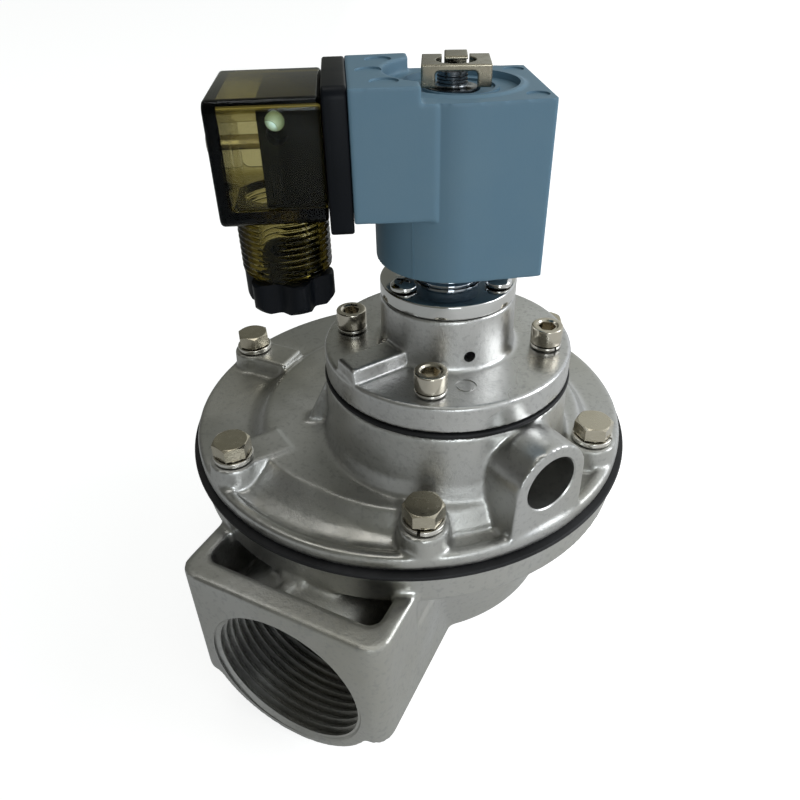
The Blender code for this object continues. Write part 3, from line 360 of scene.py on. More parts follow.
castAluminium = makeMaterial("castAluminium", castGroup, {})
capAluminium = makeMaterial("capAluminium", castGroup, {
    "Light": (0.58, 0.58, 0.58, 1), "Warm": (0.47, 0.46, 0.42, 1), "Smooth Rough": 0.2, "Grainy Rough": 0.36,
    "Wave": 0.3, "Grain": 0.7})
boltNickel = makeMaterial("boltNickel", plateGroup, {
    "Tint": (0.52, 0.48, 0.39, 1), "Stain": (0.36, 0.32, 0.23, 1), "Rough": 0.2, "Marks": 0.15})
screwNickel = makeMaterial("screwNickel", plateGroup, {
    "Tint": (0.58, 0.54, 0.46, 1), "Stain": (0.38, 0.33, 0.25, 1), "Rough": 0.14, "Marks": 0.15})
washerSteel = makeMaterial("washerSteel", plateGroup, {"Tint": (0.7, 0.68, 0.64, 1), "Rough": 0.18})
brightPlate = makeMaterial("brightPlate", plateGroup, {
    "Tint": (0.62, 0.62, 0.61, 1), "Stain": (0.5, 0.48, 0.45, 1), "Rough": 0.09, "Marks": 0.06})
tubeSteel = makeMaterial("tubeSteel", plateGroup, {
    "Tint": (0.62, 0.66, 0.72, 1), "Stain": (0.4, 0.44, 0.5, 1), "Rough": 0.06, "Marks": 0.08})
clipSteel = makeMaterial("clipSteel", plateGroup, {
    "Tint": (0.31, 0.28, 0.215, 1), "Stain": (0.21, 0.18, 0.13, 1), "Stretch": (1, 1, 1), "Rough": 0.22,
    "Marks": 0.08})
# painted shade: the core's dark tint stands in for the shade it sits in under the clip
coreSteel = makeMaterial("coreSteel", plateGroup, {
    "Tint": (0.2, 0.21, 0.22, 1), "Stain": (0.12, 0.12, 0.12, 1), "Rough": 0.2})
innerSteel = makeMaterial("innerSteel", plateGroup, {"Tint": (0.56, 0.56, 0.55, 1), "Rough": 0.22})
bladeBrass = makeMaterial("bladeBrass", plateGroup, {
    "Tint": (0.8, 0.62, 0.3, 1), "Stain": (0.6, 0.42, 0.18, 1), "Rough": 0.24})
blackRubber = makeMaterial("blackRubber", mouldGroup, {
    "Base": (0.008, 0.008, 0.009, 1), "Dust": (0.06, 0.06, 0.065, 1), "Dusty": 0.35, "Rough": 0.5,
    "Texture": 0.5},
    Specular_IOR_Level=0.25)
coilBlue = makeMaterial("coilBlue", mouldGroup, {
    "Base": (0.105, 0.195, 0.27, 1), "Dust": (0.17, 0.25, 0.29, 1), "Dusty": 0.25, "Rough": 0.5,
    "Texture": 0.3},
    Specular_IOR_Level=0.35)
blackMoulding = makeMaterial("blackMoulding", mouldGroup, {
    "Base": (0.003, 0.004, 0.006, 1), "Dust": (0.007, 0.01, 0.016, 1), "Dusty": 0.3, "Rough": 0.36,
    "Texture": 0.15},
    Specular_IOR_Level=0.12)
# painted glow: the faint emission brightens the dome in place of its glass highlights
lampClear = makeMaterial("lampClear", mouldGroup, {
    "Base": (0.72, 0.95, 0.85, 1), "Dust": (0.95, 1, 0.97, 1), "Rough": 0.12, "Texture": 0.05},
    Emission_Color=(0.6, 0.9, 0.85, 1), Emission_Strength=0.25)
# smoky plastic: clear at its surface and tinted through its depth, so that thick edges go dark
smokyClear = makeMaterial("smokyClear", mouldGroup, {
    "Base": (0.93, 0.93, 0.88, 1), "Dust": (0.85, 0.85, 0.78, 1), "Dusty": 0.3, "Rough": 0.03,
    "Texture": 0.04},
    Transmission_Weight=1.0, IOR=1.45, Specular_Tint=(0.3, 0.33, 0.36, 1))
tree = smokyClear.node_tree
depth = addNode(tree, "VolumeAbsorption", {"Color": (0.4, 0.35, 0.0, 1), "Density": 930})
setInputs(tree, tree.nodes["Material Output"], {"Volume": depth.outputs[0]})
print("materials ready")

# Valve body: bowl, flange, inlet box and pipe, cast, then machined
body = {
    "bossRadius": 26.0, "bowlFloor": 16.0, "bowlRadius": 40.0, "bowlTopRadius": 47.5, "flangeRadius": 56.0,
    "flangeLow": 48.7, "boxHalf": 26.4, "boxTop": 51.8, "boxFace": -67.2, "boxBack": -24.2, "boxCorner": 5.0,
    "sideWall": 4.2, "frontWall": 6.0, "pocketFloor": 33.0, "pocketBack": -41.0, "cutTop": 60.0,
    "sideStep": 0.7, "stepFront": -49.4, "stepLow": 39.2, "pipeRadius": 23.3, "pipeZ": 26.0, "arrowX": -2.0,
    "arrowTip": 14.0, "arrowTail": 4.6, "nozzleRadius": 24.2, "seatZ": 50.0, "chamberRadius": 43.0,
    "chamberFloor": 20.2, "threadMajor": 20.95, "threadMinor": 19.48, "pitch": 2.309, "outletDepth": 14.0,
    "inletDepth": 24.0, "outletMouth": 22.4, "inletMouth": 22.1, "boltCircle": 49.8, "boltHole": 2.8,
    "voxel": 0.66,
}
boltPlaces = discOutline(body["boltCircle"], steps=6)


def threadedPlug(name, length, place):
    # a helical thread as a solid plug: one turn of the section, risen by one pitch, repeats itself
    pitch, major, minor = body["pitch"], body["threadMajor"], body["threadMinor"]
    bm = bmesh.new()
    section = []
    for turn in range(int(length / pitch) + 4):
        z = turn * pitch
        section += [(minor, z - 0.22), (minor, z + 0.22), (major, z + pitch / 2 - 0.14),
                    (major, z + pitch / 2 + 0.14)]
    points = [bm.verts.new((r, 0, z)) for r, z in section]
    edges = [bm.edges.new(pair) for pair in zip(points, points[1:])]
    steps = 120     # of one full turn
    bmesh.ops.spin(bm, geom=points + edges, cent=(0, 0, 0), axis=(0, 0, 1), dvec=(0, 0, pitch / steps),
                   angle=2 * pi, steps=steps)
    bmesh.ops.remove_doubles(bm, verts=bm.verts, dist=0.001)
    low = pitch * 1.5
    for z, up in ((low, -1), (low + length, 1)):
        everything = list(bm.verts) + list(bm.edges) + list(bm.faces)
        bmesh.ops.bisect_plane(bm, geom=everything, plane_co=(0, 0, z), plane_no=(0, 0, up), clear_outer=True)
    bmesh.ops.edgeloop_fill(bm, edges=[e for e in bm.edges if e.is_boundary])
    bmesh.ops.translate(bm, vec=(0, 0, -low), verts=bm.verts)
    bmesh.ops.transform(bm, matrix=place, verts=bm.verts)
    return makeObject(name, bm)


def makeBody():
    b = body
    top = heights("valve_body")[1]
    bowl = latheObject("bowlBlank", filleted([
        (0, 0), (b["bossRadius"], 0, 1.0), (b["bossRadius"], b["bowlFloor"], 2.0),
        (b["bowlRadius"], b["bowlFloor"], 3.5), (b["bowlTopRadius"], b["flangeLow"], 3.0),
        (b["flangeRadius"], b["flangeLow"], 0.8), (b["flangeRadius"], top, 0.4), (0, top)], closed=False),
        144)
    half, face = b["boxHalf"], b["boxFace"]
    box = slabObject("boxBlank", [filleted([
        (-half, face, b["boxCorner"]), (half, face, b["boxCorner"]), (half, b["boxBack"]),
        (-half, b["boxBack"])], 8)],
        b["bowlFloor"], b["boxTop"])
    pocketHalf = half - b["sideWall"]
    bm = bmesh.new()
    slab(bm, rounded(-pocketHalf, pocketHalf, face + b["frontWall"], b["pocketBack"], 3.0), b["pocketFloor"],
         b["cutTop"])
    softenEdges(bm, 2.0, 3)
    inner = half - b["sideStep"]
    step = slabObject("sideStepCutter", [
        [(side * (half + 2), b["stepFront"]), (side * (half + 2), b["boxBack"] + 1),
         (side * inner, b["boxBack"] + 1), (side * inner, b["stepFront"])] for side in (-1, 1)],
         b["stepLow"], b["cutTop"])
    carve(box, makeObject("pocketCutter", bm), step, solver="EXACT")
    pipePlace = moved(0, 0, b["pipeZ"]) @ turned(pi / 2, "X")
    pipe = latheObject("pipeBlank", filleted([
        (0, 22), (b["pipeRadius"], 22), (b["pipeRadius"], -face, 0.6), (0, -face)], closed=False), 128,
        pipePlace)
    x, tip, tail = b["arrowX"], face + b["arrowTip"], face + b["arrowTail"]
    arrow = slabObject("arrowBlank", [[
        (x - 1.1, tail), (x + 1.1, tail), (x + 1.1, tip - 4), (x + 3.2, tip - 4), (x, tip),
        (x - 3.2, tip - 4), (x - 1.1, tip - 4)]], b["pipeZ"] + 20, b["pipeZ"] + b["pipeRadius"] + 1.0)
    casting = fuse("valveBody", [bowl, box, pipe, arrow], b["voxel"], 4)
    chamber = latheObject("chamberCutter", filleted([
        (b["nozzleRadius"], b["chamberFloor"], 2), (b["bowlRadius"] - 3.5, b["chamberFloor"], 2.5),
        (b["chamberRadius"], b["flangeLow"] - 4, 1), (b["chamberRadius"], top + 5), (0, top + 5),
        (0, b["seatZ"]), (b["nozzleRadius"], b["seatZ"], 1.0)], closed=False))
    outlet = threadedPlug("outletCutter", b["outletDepth"], moved(0, 0, -0.6))
    minor = b["threadMinor"]
    outletBore = latheObject("outletBore", cone(minor, 10, minor, 55))
    outletMouth = latheObject("outletMouth", cone(b["outletMouth"], -1, b["outletMouth"] - 2.8, 1.8))
    depth = -face - b["nozzleRadius"] - 2.6
    inletPlace = moved(0, face - 0.6, b["pipeZ"]) @ turned(-pi / 2, "X")
    inlet = threadedPlug("inletCutter", b["inletDepth"], inletPlace)
    inletBore = latheObject("inletBore", cone(minor - 0.1, 20, minor - 0.1, depth), place=inletPlace)
    inletMouth = latheObject("inletMouth", cone(b["inletMouth"], -1, b["inletMouth"] - 2.1, 1.1),
                             place=inletPlace)
    holes = drillsAt("bodyHoles", boltPlaces, b["boltHole"], b["flangeLow"] + 1, top + 5)
    carve(casting, chamber, outlet, outletBore, outletMouth, inlet, inletBore, inletMouth, holes)
    finishPiece(casting, castAluminium, "valve", "valve_body")


makeBody()
print("body ready")

# Main cover
cover = {
    "flangeRadius": 56.0, "rimTop": 62.7, "plateauTop": 67.0, "plateauRadius": 40.0, "plateauShift": 7.0,
    "footRadius": 44.5, "footShift": 5.0, "lipInner": 53.4, "lipDepth": 1.3, "padTop": 67.5, "padHalf": 4.6,
    "padInner": 36.6, "padDraft": 1.2, "bossRadius": 5.7, "hollowRadius": 41.0, "hollowHeight": 4.6,
    "potRadius": 28.4, "potFoot": 33.0, "exhaustBoss": 9.6, "exhaustHole": 6.6, "exhaustFace": 54.8,
    "exhaustZ": 74.0, "seatZ": 81.3, "nozzleRadius": 9.2, "nozzleBore": 6.4, "ringRadius": 18.2,
    "transferRadius": 3.2, "transferX": -13.6, "tunnelRadius": 5.2, "tunnelZ": 73.4, "voxel": 0.53,
}


def makePlateau():
    # rings bridged from the foot to the top, where the circle's centre moves out as it rises
    c = cover
    bm = bmesh.new()
    foot = c["rimTop"]
    height = c["plateauTop"] - foot
    loops = []
    for share, up in ((0.0, -1.5), (0.0, 0.15), (0.22, 0.7), (0.75, height - 0.7), (0.9, height - 0.25),
                      (1.0, height)):
        radius = c["footRadius"] + (c["plateauRadius"] - c["footRadius"]) * share
        shift = c["footShift"] + (c["plateauShift"] - c["footShift"]) * share
        ring = bmesh.ops.create_circle(bm, cap_ends=False, segments=128, radius=radius)["verts"]
        bmesh.ops.translate(bm, vec=(shift * cos(pilotAngle), shift * sin(pilotAngle), foot + up), verts=ring)
        loops.append([e for e in bm.edges if e.verts[0] in ring and e.verts[1] in ring])
    for lower, upper in zip(loops, loops[1:]):
        bmesh.ops.bridge_loops(bm, edges=lower + upper)
    bmesh.ops.edgeloop_fill(bm, edges=loops[0] + loops[-1])
    return makeObject("plateauBlank", bm)


def makeCover():
    c = cover
    low, potTop = heights("main_cover")
    rim = latheObject("rimBlank", filleted([
        (0, low), (c["flangeRadius"], low, 0.3), (c["flangeRadius"], c["rimTop"], 0.9), (0, c["rimTop"])],
        closed=False), 160)
    floor = c["rimTop"] - c["lipDepth"]
    cutters = [latheObject(f"sector{i}", [(45.5, floor), (c["lipInner"] - 0.8, floor),
                                          (c["lipInner"], floor + 0.9), (c["lipInner"], 70), (45.5, 70)], 24,
                                          start=radians(a), turn=radians(b - a))
               for i, (a, b) in enumerate(((-116, -64), (-57, -41), (-19, -3)))]
    carve(rim, *cutters, solver="EXACT")
    skirt = latheObject("skirtBlank", [
        (38, low + 0.5), (52.6, low + 0.5), (52.6, floor + 0.1), (50.5, floor + 0.35), (48.2, floor + 1.2),
        (46.2, floor + 2.5), (44.6, floor + 4.0), (43.2, c["plateauTop"] - 0.2), (42.4, c["plateauTop"]),
        (38, c["plateauTop"])], 24, start=radians(-119), turn=radians(58))
    parts = [rim, skirt, makePlateau()]
    for i in range(6):
        spin = turned(2 * pi * i / 6)
        h, d, z = c["padHalf"], c["padDraft"], c["rimTop"] - 1.2
        parts.append(slabObject(f"padBlank{i}", [[(-h - d, z), (h + d, z), (h, c["padTop"]),
                                                  (-h, c["padTop"])]],
                                c["padInner"], body["boltCircle"], spin, "X"))
        parts.append(latheObject(f"padBoss{i}", cone(c["bossRadius"] + 0.4, z, c["bossRadius"], c["padTop"]),
                                 40, spin @ moved(body["boltCircle"])))
    parts.append(latheObject("potBlank", filleted([
        (0, low + 1.5), (c["potFoot"], low + 1.5), (c["potFoot"], c["rimTop"] + 0.3, 1.0),
        (30.4, c["rimTop"] + 3.2, 2.5), (c["potRadius"] + 0.5, 71.5, 6), (c["potRadius"], potTop, 0.4),
        (0, potTop)],
        closed=False), 128, pilotPlace))
    boss = c["exhaustBoss"]
    arch = [(boss + 0.5, low + 1.5)] + arc(boss, 0, pi, 24, 0, c["exhaustZ"]) + [(-boss - 0.5, low + 1.5)]
    parts.append(slabObject("exhaustBlank", [arch], 25.0, c["exhaustFace"], exhaustPlace, "X"))
    for i, angle in enumerate((-128, 135)):
        z = c["plateauTop"]
        parts.append(slabObject(f"ribBlank{i}", [[
            (24.5, z - 1.5), (35.4, z - 1.5), (35.0, z + 0.6), (33.8, z + 2.0), (27.8, potTop - 2.2),
            (24.5, potTop - 2.2)]], -1.6, 1.6, pilotPlace @ turned(radians(angle)), "Y"))
    casting = fuse("mainCover", parts, c["voxel"], 5)
    hollowTop = low + c["hollowHeight"]
    hollow = latheObject("coverHollow", [
        (0, low - 2), (c["hollowRadius"], low - 2), (c["hollowRadius"], low), (34, hollowTop - 0.8),
        (32, hollowTop), (0, hollowTop)])
    ringFloor = hollowTop + 4.5
    ring = latheObject("ringChamber", [
        (c["nozzleRadius"], ringFloor), (c["ringRadius"], ringFloor), (c["ringRadius"], potTop + 2),
        (0, potTop + 2), (0, c["seatZ"]), (c["nozzleRadius"], c["seatZ"])], 64, pilotPlace)
    carve(casting, hollow, ring)
    tunnel = slabObject("tunnel", [discOutline(c["tunnelRadius"] + 1.7, 0, c["tunnelZ"], 28)],
                        c["nozzleRadius"] - 2, c["ringRadius"] + 1, pilotPlace, "X")
    carve(casting, tunnel, operation="UNION")
    tunnelBore = slabObject("tunnelBore", [discOutline(c["tunnelRadius"], 0, c["tunnelZ"], 30)], 0,
                            c["ringRadius"] + 6, pilotPlace, "X")
    depth = c["exhaustFace"] - pilotShift
    drill = pilotPlace @ moved(0, 0, c["exhaustZ"]) @ turned(pi / 2, "Y")
    exhaustBore = latheObject("exhaustBore", [
        (0, c["ringRadius"] + 3.5), (c["exhaustHole"], c["ringRadius"] + 3.5),
        (c["exhaustHole"], depth - 0.3), (c["exhaustHole"] + 0.9, depth + 0.6), (0, depth + 0.6)], 64, drill)
    nozzleBore = slabObject("nozzleBore", [discOutline(c["nozzleBore"])], c["tunnelZ"], c["seatZ"] + 1,
                            pilotPlace)
    transfer = drillsAt("transferBore", [(c["transferX"], 0)], c["transferRadius"], hollowTop - 1,
                        ringFloor + 1, 20, pilotPlace)
    holes = drillsAt("coverHoles", boltPlaces, body["boltHole"], low - 2, c["padTop"] + 2)
    carve(casting, tunnelBore, exhaustBore, nozzleBore, transfer, holes)
    finishPiece(casting, castAluminium, "valve", "main_cover")


makeCover()
print("cover ready")

# Pilot cap
cap = {
    "radius": 28.4, "flangeTop": 91.8, "collar": 15.0, "ribHalf": 3.3, "ribOffset": 1.2, "ribTop": 95.1,
    "screwCircle": 22.6, "screwHole": 2.3, "plateScrewCircle": 11.7, "plateScrewHole": 1.8, "bleedZ": 95.4,
    "bleedRadius": 1.3, "markX": 18.4, "markY": -8.7, "markInner": 1.9, "markOuter": 2.3, "voxel": 0.34,
}
capScrewPlaces = discOutline(cap["screwCircle"], steps=4, start=pi / 4)
plateScrewPlaces = discOutline(cap["plateScrewCircle"], steps=3, start=pi / 6)


def makeCap():
    c = cap
    low, top = heights("pilot_cap")
    blank = latheObject("capBlank", filleted([
        (0, low), (c["radius"], low, 0.3), (c["radius"], c["flangeTop"], 0.7),
        (c["collar"] + 0.2, c["flangeTop"], 1.3), (c["collar"], top, 0.4), (0, top)], closed=False), 128)
    bm = bmesh.new()
    x, half, z = c["ribOffset"], c["ribHalf"], c["ribTop"]
    slab(bm, [(x - half - 0.9, c["flangeTop"] - 2), (x + half + 0.9, c["flangeTop"] - 2), (x + half, z),
              (x - half, z)],
         -c["radius"] + 0.5, -c["collar"] + 2.5, axis="Y")
    softenEdges(bm, 0.5, 2)
    casting = fuse("pilotCap", [blank, makeObject("capRib", bm)], c["voxel"], 4)
    hollow = latheObject("capHollow", [(0, low - 2), (17, low - 2), (17, low), (15, low + 4.4),
                                       (0, low + 4.4)], 64)
    recess = latheObject("capRecess", [
        (2.2, top - 4), (9.2, top - 4), (9.2, top + 2), (0, top + 2), (0, top - 2.4), (1.8, top - 2.4)], 64)
    orifice = slabObject("pilotOrifice", [discOutline(0.9, steps=16)], c["bleedZ"], top)
    bleed = slabObject("bleedBore", [discOutline(c["bleedRadius"], 0, c["bleedZ"], 28)], 0, c["collar"] + 2,
                       turned(radians(-18)), "X")
    mark = latheObject("pinMark", rounded(c["markInner"], c["markOuter"], c["flangeTop"] - 0.2,
                                          c["flangeTop"] + 1),
                       32, moved(c["markX"], c["markY"]))
    holes = drillsAt("capHoles", capScrewPlaces, c["screwHole"], low - 2, c["flangeTop"] + 2)
    collarHoles = drillsAt("collarHoles", plateScrewPlaces, c["plateScrewHole"], top - 7, top + 2, 12)
    carve(casting, hollow, recess, orifice, bleed, mark, holes, collarHoles)
    finishPiece(casting, capAluminium, "valve", "pilot_cap", place=pilotPlace)


makeCap()
print("cap ready")

# Rubber edges, bolts, screws and washers
rubber = {"mainWidth": 14.5, "secondWidth": 10.6}


def makeRubberBand(name, node, place, width, holes, holeRadius, steps):
    z0, z1 = heights(node)
    radius = nodeBox(node)[1][0] - place.translation.x
    band = latheObject(name, filleted([
        (radius - width, z0), (radius - 0.1, z0, 0.35), (radius, (z0 + z1) / 2), (radius - 0.1, z1, 0.35),
        (radius - width, z1)], 4), steps, place)
    carve(band, drillsAt("bandHoles", holes, holeRadius, z0 - 2, z1 + 2, place=place), solver="EXACT")
    finishPiece(band, blackRubber, "valve", node)


makeRubberBand("mainDiaphragmEdge", "main_diaphragm_rim", here, rubber["mainWidth"], boltPlaces,
               body["boltHole"], 160)
makeRubberBand("secondDiaphragmEdge", "second_diaphragm_rim", pilotPlace, rubber["secondWidth"],
               capScrewPlaces, cap["screwHole"], 128)

bolt = {"flats": 8.0, "head": 3.5, "shank": 2.5, "collar": 4.1, "washerOuter": 4.8, "washerInner": 2.85}


def makeBolt(index, x, y):
    node = f"cover_bolt_{index}"
    low, top = heights(node)
    headLow, collar, wide = top - bolt["head"], bolt["collar"], bolt["shank"]
    head = slabObject(f"coverBolt{index}", [hexagon(bolt["flats"])], headLow + 0.15, top)
    crown = latheObject("crown", filleted([
        (0, headLow - 1), (6, headLow - 1), (6, top - 1.15), (bolt["flats"] / 2 - 0.15, top, 0.25), (0, top)],
        closed=False), 64)
    carve(head, crown, operation="INTERSECT", solver="EXACT")
    shank = latheObject("shank", filleted([
        (0, low), (wide - 0.4, low), (wide, low + 0.5), (wide, headLow + 0.1), (collar, headLow + 0.02),
        (collar, headLow + 0.3), (0, headLow + 0.3)], closed=False), 48)
    carve(head, shank, operation="UNION", solver="EXACT")
    finishPiece(head, boltNickel, "valve", node, sharp=25,
                place=moved(x, y) @ turned(radians(20 + 37 * (index - 1))))


def makeWasher(kind, index, outer, inner, place):
    # spring washer: a ring of square wire with a gap
    node = f"{kind}_washer_{index}"
    z0, z1 = heights(node)
    gap = 0.16
    ring = latheObject(f"{kind}Washer{index}", filleted([
        (inner, z0, 0.12), (outer, z0, 0.2), (outer, z1, 0.2), (inner, z1, 0.12)], 3), 44, place,
        start=index - 1, turn=2 * pi - gap)
    finishPiece(ring, washerSteel, "valve", node, sharp=50)


for index, (x, y) in enumerate(boltPlaces, 1):
    makeBolt(index, x, y)
    makeWasher("cover", index, bolt["washerOuter"], bolt["washerInner"], moved(x, y))

capScrew = {"radius": 3.5, "head": 4.0, "shank": 2.0, "socket": 3.5, "socketDepth": 2.4}


def makeSocketScrew(index, x, y):
    s = capScrew
    node = f"cap_screw_{index}"
    low, top = heights(node)
    headLow = top - s["head"]
    screw = latheObject(f"capScrew{index}", filleted([
        (0, low), (s["shank"], low, 0.3), (s["shank"], headLow), (s["radius"], headLow, 0.2),
        (s["radius"], top, 0.35), (2.45, top, 0.1), (2.1, top - 0.35), (0, top - 0.35)], 4, closed=False), 64)
    carve(screw, slabObject("key", [hexagon(s["socket"])], top - s["socketDepth"], top + 1))
    finishPiece(screw, screwNickel, "valve", node,
                place=pilotPlace @ moved(x, y) @ turned(index * 0.8))


for index, (x, y) in enumerate(capScrewPlaces, 1):
    makeSocketScrew(index, x, y)
    makeWasher("cap", index, capScrew["radius"], cap["screwHole"], pilotPlace @ moved(x, y))

plateScrew = {"radius": 2.9, "head": 1.8, "shank": 1.5, "crossArm": 1.7, "crossHalf": 0.36, "crossDepth": 1.2}


def makePlateScrew(index, x, y):
    s = plateScrew
    node = f"plate_screw_{index}"
    low, top = heights(node)
    headLow = top - s["head"]
    screw = latheObject(f"plateScrew{index}", filleted([
        (0, low), (s["shank"], low), (s["shank"], headLow), (s["radius"], headLow, 0.2),
        (s["radius"], headLow + 0.9, 0.5), (2.1, top - 0.2, 0.8), (0, top)], 4, closed=False), 48)
    arm, half = s["crossArm"], s["crossHalf"]
    cross = [(u * cos(a) - v * sin(a), u * sin(a) + v * cos(a)) for a in (0, pi / 2, pi, 3 * pi / 2)
             for u, v in ((half, -arm), (half, -half), (arm, -half))]
    carve(screw, slabObject("crossBlank", [cross], top - s["crossDepth"], top + 1))
    finishPiece(screw, brightPlate, "valve", node,
                place=pilotPlace @ moved(x, y) @ turned(0.6 + index))


for index, (x, y) in enumerate(plateScrewPlaces, 1):
    makePlateScrew(index, x, y)

plate = {"radius": 15.0, "ring": 7.5, "bore": 6.3, "ledge": 1.4}


def makePilotPlate():
    p = plate
    z0, z1 = heights("pilot_plate")
    disc = latheObject("pilotPlate", filleted([
        (p["bore"], z0), (p["radius"], z0, 0.35), (p["radius"], z1, 0.45), (p["ring"], z1, 0.2),
        (p["ring"], z0 + p["ledge"]), (p["bore"], z0 + p["ledge"])], 4), 128)
    carve(disc, drillsAt("plateHoles", plateScrewPlaces, cap["plateScrewHole"], z0 - 2, z1 + 2, 20),
          solver="EXACT")
    finishPiece(disc, brightPlate, "valve", "pilot_plate", place=pilotPlace)


tubeSize = {"base": 7.2, "neck": 6.6, "radius": 5.0, "bore": 4.2, "gap": 2.4}


def makeCoreTube():
    t = tubeSize
    z0, z1 = heights("core_tube")
    neckTop = heights("coil_shell")[0] - t["gap"]
    tube = latheObject("coreTube", filleted([
        (t["bore"], z0), (t["base"], z0, 0.1), (t["base"], z0 + 2.1, 0.3), (t["neck"], z0 + 2.6, 0.5),
        (t["neck"], neckTop, 0.4), (t["radius"], neckTop), (t["radius"], z1, 0.4), (t["bore"], z1)], 4), 80)
    finishPiece(tube, tubeSteel, "valve", "core_tube", place=pilotPlace)


makePilotPlate()
makeCoreTube()
print("fasteners ready")

# Solenoid coil
coil = {
    "radius": 15.5, "end": 16.7, "endHalf": 14.2, "lugFace": -19.9, "lugHalf": 14.9, "lugFlare": 0.35,
    "lugEnd": -4.6, "lugStep": -7.4, "lugCut": 13.2, "lugDepth": 10.8, "step": 2.9, "drop": 2.1,
    "recessOut": 1.6, "recess": 11.0, "rim": 12.2, "rimRise": 0.35, "hub": 7.4, "bore": 5.3, "lugHole": 1.8,
    "seamAngle": radians(-125), "seamHalf": 0.1, "voxel": 0.34,
}


def makeCoil():
    c = coil
    z0, lugTop = heights("coil_shell")
    top = lugTop - c["step"]
    lugLow = z0 + c["lugDepth"]
    lugMiddle = (lugLow + lugTop) / 2
    z0 -= c["drop"]
    topPlace = moved(c["recessOut"])
    bm = bmesh.new()
    turn = radians(84)
    plan = [(c["end"], -c["endHalf"]), (c["end"], c["endHalf"])] + arc(c["radius"], turn, 2 * pi - turn, 52)
    slab(bm, plan, z0, top)
    lathe(bm, [(c["recess"] - 0.5, top - 0.5), (c["rim"], top - 0.5), (c["rim"], top + 0.1),
               (c["rim"] - 0.4, top + c["rimRise"]), (c["recess"] - 0.5, top + c["rimRise"])], place=topPlace)
    block = makeObject("coilBlank", bm)
    face, half, flare = c["lugFace"], c["lugHalf"], c["lugHalf"] + c["lugFlare"]
    lug = slabObject("lugBlank", [[
        (face, -half), (c["lugEnd"], -flare), (c["lugEnd"], flare), (face, half)]], lugLow, top)
    raised = slabObject("raisedBlank", [[
        (face, -half), (c["lugStep"], -flare + 0.1), (c["lugStep"], flare - 0.1), (face, half)]], lugLow + 3,
        lugTop)
    scoop = slabObject("scoop", [discOutline(c["lugCut"], steps=72)], top, lugTop + 4)
    carve(raised, scoop, solver="EXACT")
    shell = fuse("coilShell", [block, lug, raised], c["voxel"], 3)
    recess = latheObject("topRecess", [
        (c["hub"], top - 0.9), (c["recess"], top - 0.9), (c["recess"] + 0.2, top + 1), (0, top + 1),
        (0, top - 0.9), (c["hub"] - 1.0, top - 0.9), (c["hub"] - 0.9, top - 0.45),
        (c["hub"] - 0.1, top - 0.45)], place=topPlace)
    bore = slabObject("coilBore", [discOutline(c["bore"], steps=48)], z0 - 1, top + 1)
    screwHole = slabObject("lugScrewHole", [discOutline(c["lugHole"], 0, lugMiddle, 20)], face - 1, face + 6,
                           axis="X")
    blades = ((0.0, lugMiddle - 8, 3.3, 0.7), (-6.5, lugMiddle + 2, 0.7, 3.3), (6.5, lugMiddle + 2, 0.7, 3.3))
    slots = slabObject("bladeSlots", [rounded(y - a, y + a, z - b, z + b) for y, z, a, b in blades], face - 1,
                       face + 4.3, axis="X")
    bm = bmesh.new()
    for u, v in ((-13.4, -9.7), (-15.6, 0.0), (-13.4, 9.7)):
        lathe(bm, cone(2.6, lugTop - 0.35, 2.8, lugTop + 1), 32, place=moved(u, v))
    for u, v in ((13.8, -10.6), (13.8, 10.6)):
        lathe(bm, cone(2.1, top - 0.3, 2.2, top + 1), 32, place=moved(u, v))
    stamps = makeObject("stamps", bm)
    seam = slabObject("mouldSeam", [rounded(c["radius"] - 1, c["radius"] + 0.14, -c["seamHalf"],
                                            c["seamHalf"])],
                      z0 + 0.4, lugLow + 0.5, turned(c["seamAngle"]))
    carve(shell, seam, operation="UNION")
    carve(shell, recess, bore, screwHole, slots, stamps)
    finishPiece(shell, coilBlue, "coil", "coil_shell", place=coilPlace)


makeCoil()

clip = {
    "half": 6.4, "front": -5.3, "back": 5.1, "sheet": 0.6, "hole": 3.7, "holePlace": -0.5, "tongue": 2.15,
    "slot": 2.6, "leg": 2.6, "bar": 0.55, "along": 0.6, "turn": radians(-7), "voxel": 0.13,
}


def makeClip():
    # spring steel saddle: two legs bent down in front, two feet at the back and a raised tongue over the core
    c = clip
    legLow, tongueTop = heights("retaining_clip")
    legLow -= 0.6
    top = tongueTop - 0.9
    under = top - c["sheet"]
    half, slot, front, back = c["half"], c["slot"], c["front"], c["back"]
    start = atan2(sqrt(c["hole"] ** 2 - slot ** 2), slot)
    bm = bmesh.new()
    slab(bm, [(half, front), (half, back), (slot, back)] + arc(c["hole"], start, -pi - start, 40, 0,
                                                               c["holePlace"])
         + [(-slot, back), (-half, back), (-half, front)], under, top)
    inner, bar = half - c["leg"], under - c["bar"]
    slab(bm, filleted([
        (-half, legLow), (-inner, legLow), (-inner, bar, 0.7), (inner, bar, 0.7), (inner, legLow),
        (half, legLow), (half, top), (-half, top)], 4), front, front + c["sheet"], axis="Y")
    for x0, x1 in ((-half, -slot), (slot, half)):
        slab(bm, rounded(x0, x1, under - 1.6, top), back - c["sheet"], back, axis="Y")
    slab(bm, filleted([
        (back, under - 1.4), (back, top + 0.75, 0.9), (3.0, tongueTop, 0.5), (-1.2, tongueTop - 0.25, 0.3),
        (-1.3, tongueTop - 0.9, 0.2), (2.8, tongueTop - 0.65, 0.3), (back - 0.6, top + 0.1, 0.4),
        (back - 0.6, under - 1.4)], 4), -c["tongue"], c["tongue"], axis="X")
    # a strip low between the feet holds the tongue
    slab(bm, rounded(-half, half, under - 2.4, under - 1.2), back - c["sheet"], back, axis="Y")
    saddle = fuse("retainingClip", [makeObject("clipBlank", bm)], c["voxel"], 4)
    finishPiece(saddle, clipSteel, "coil", "retaining_clip", sharp=60,
                place=coilPlace @ turned(c["turn"]) @ moved(c["along"]))


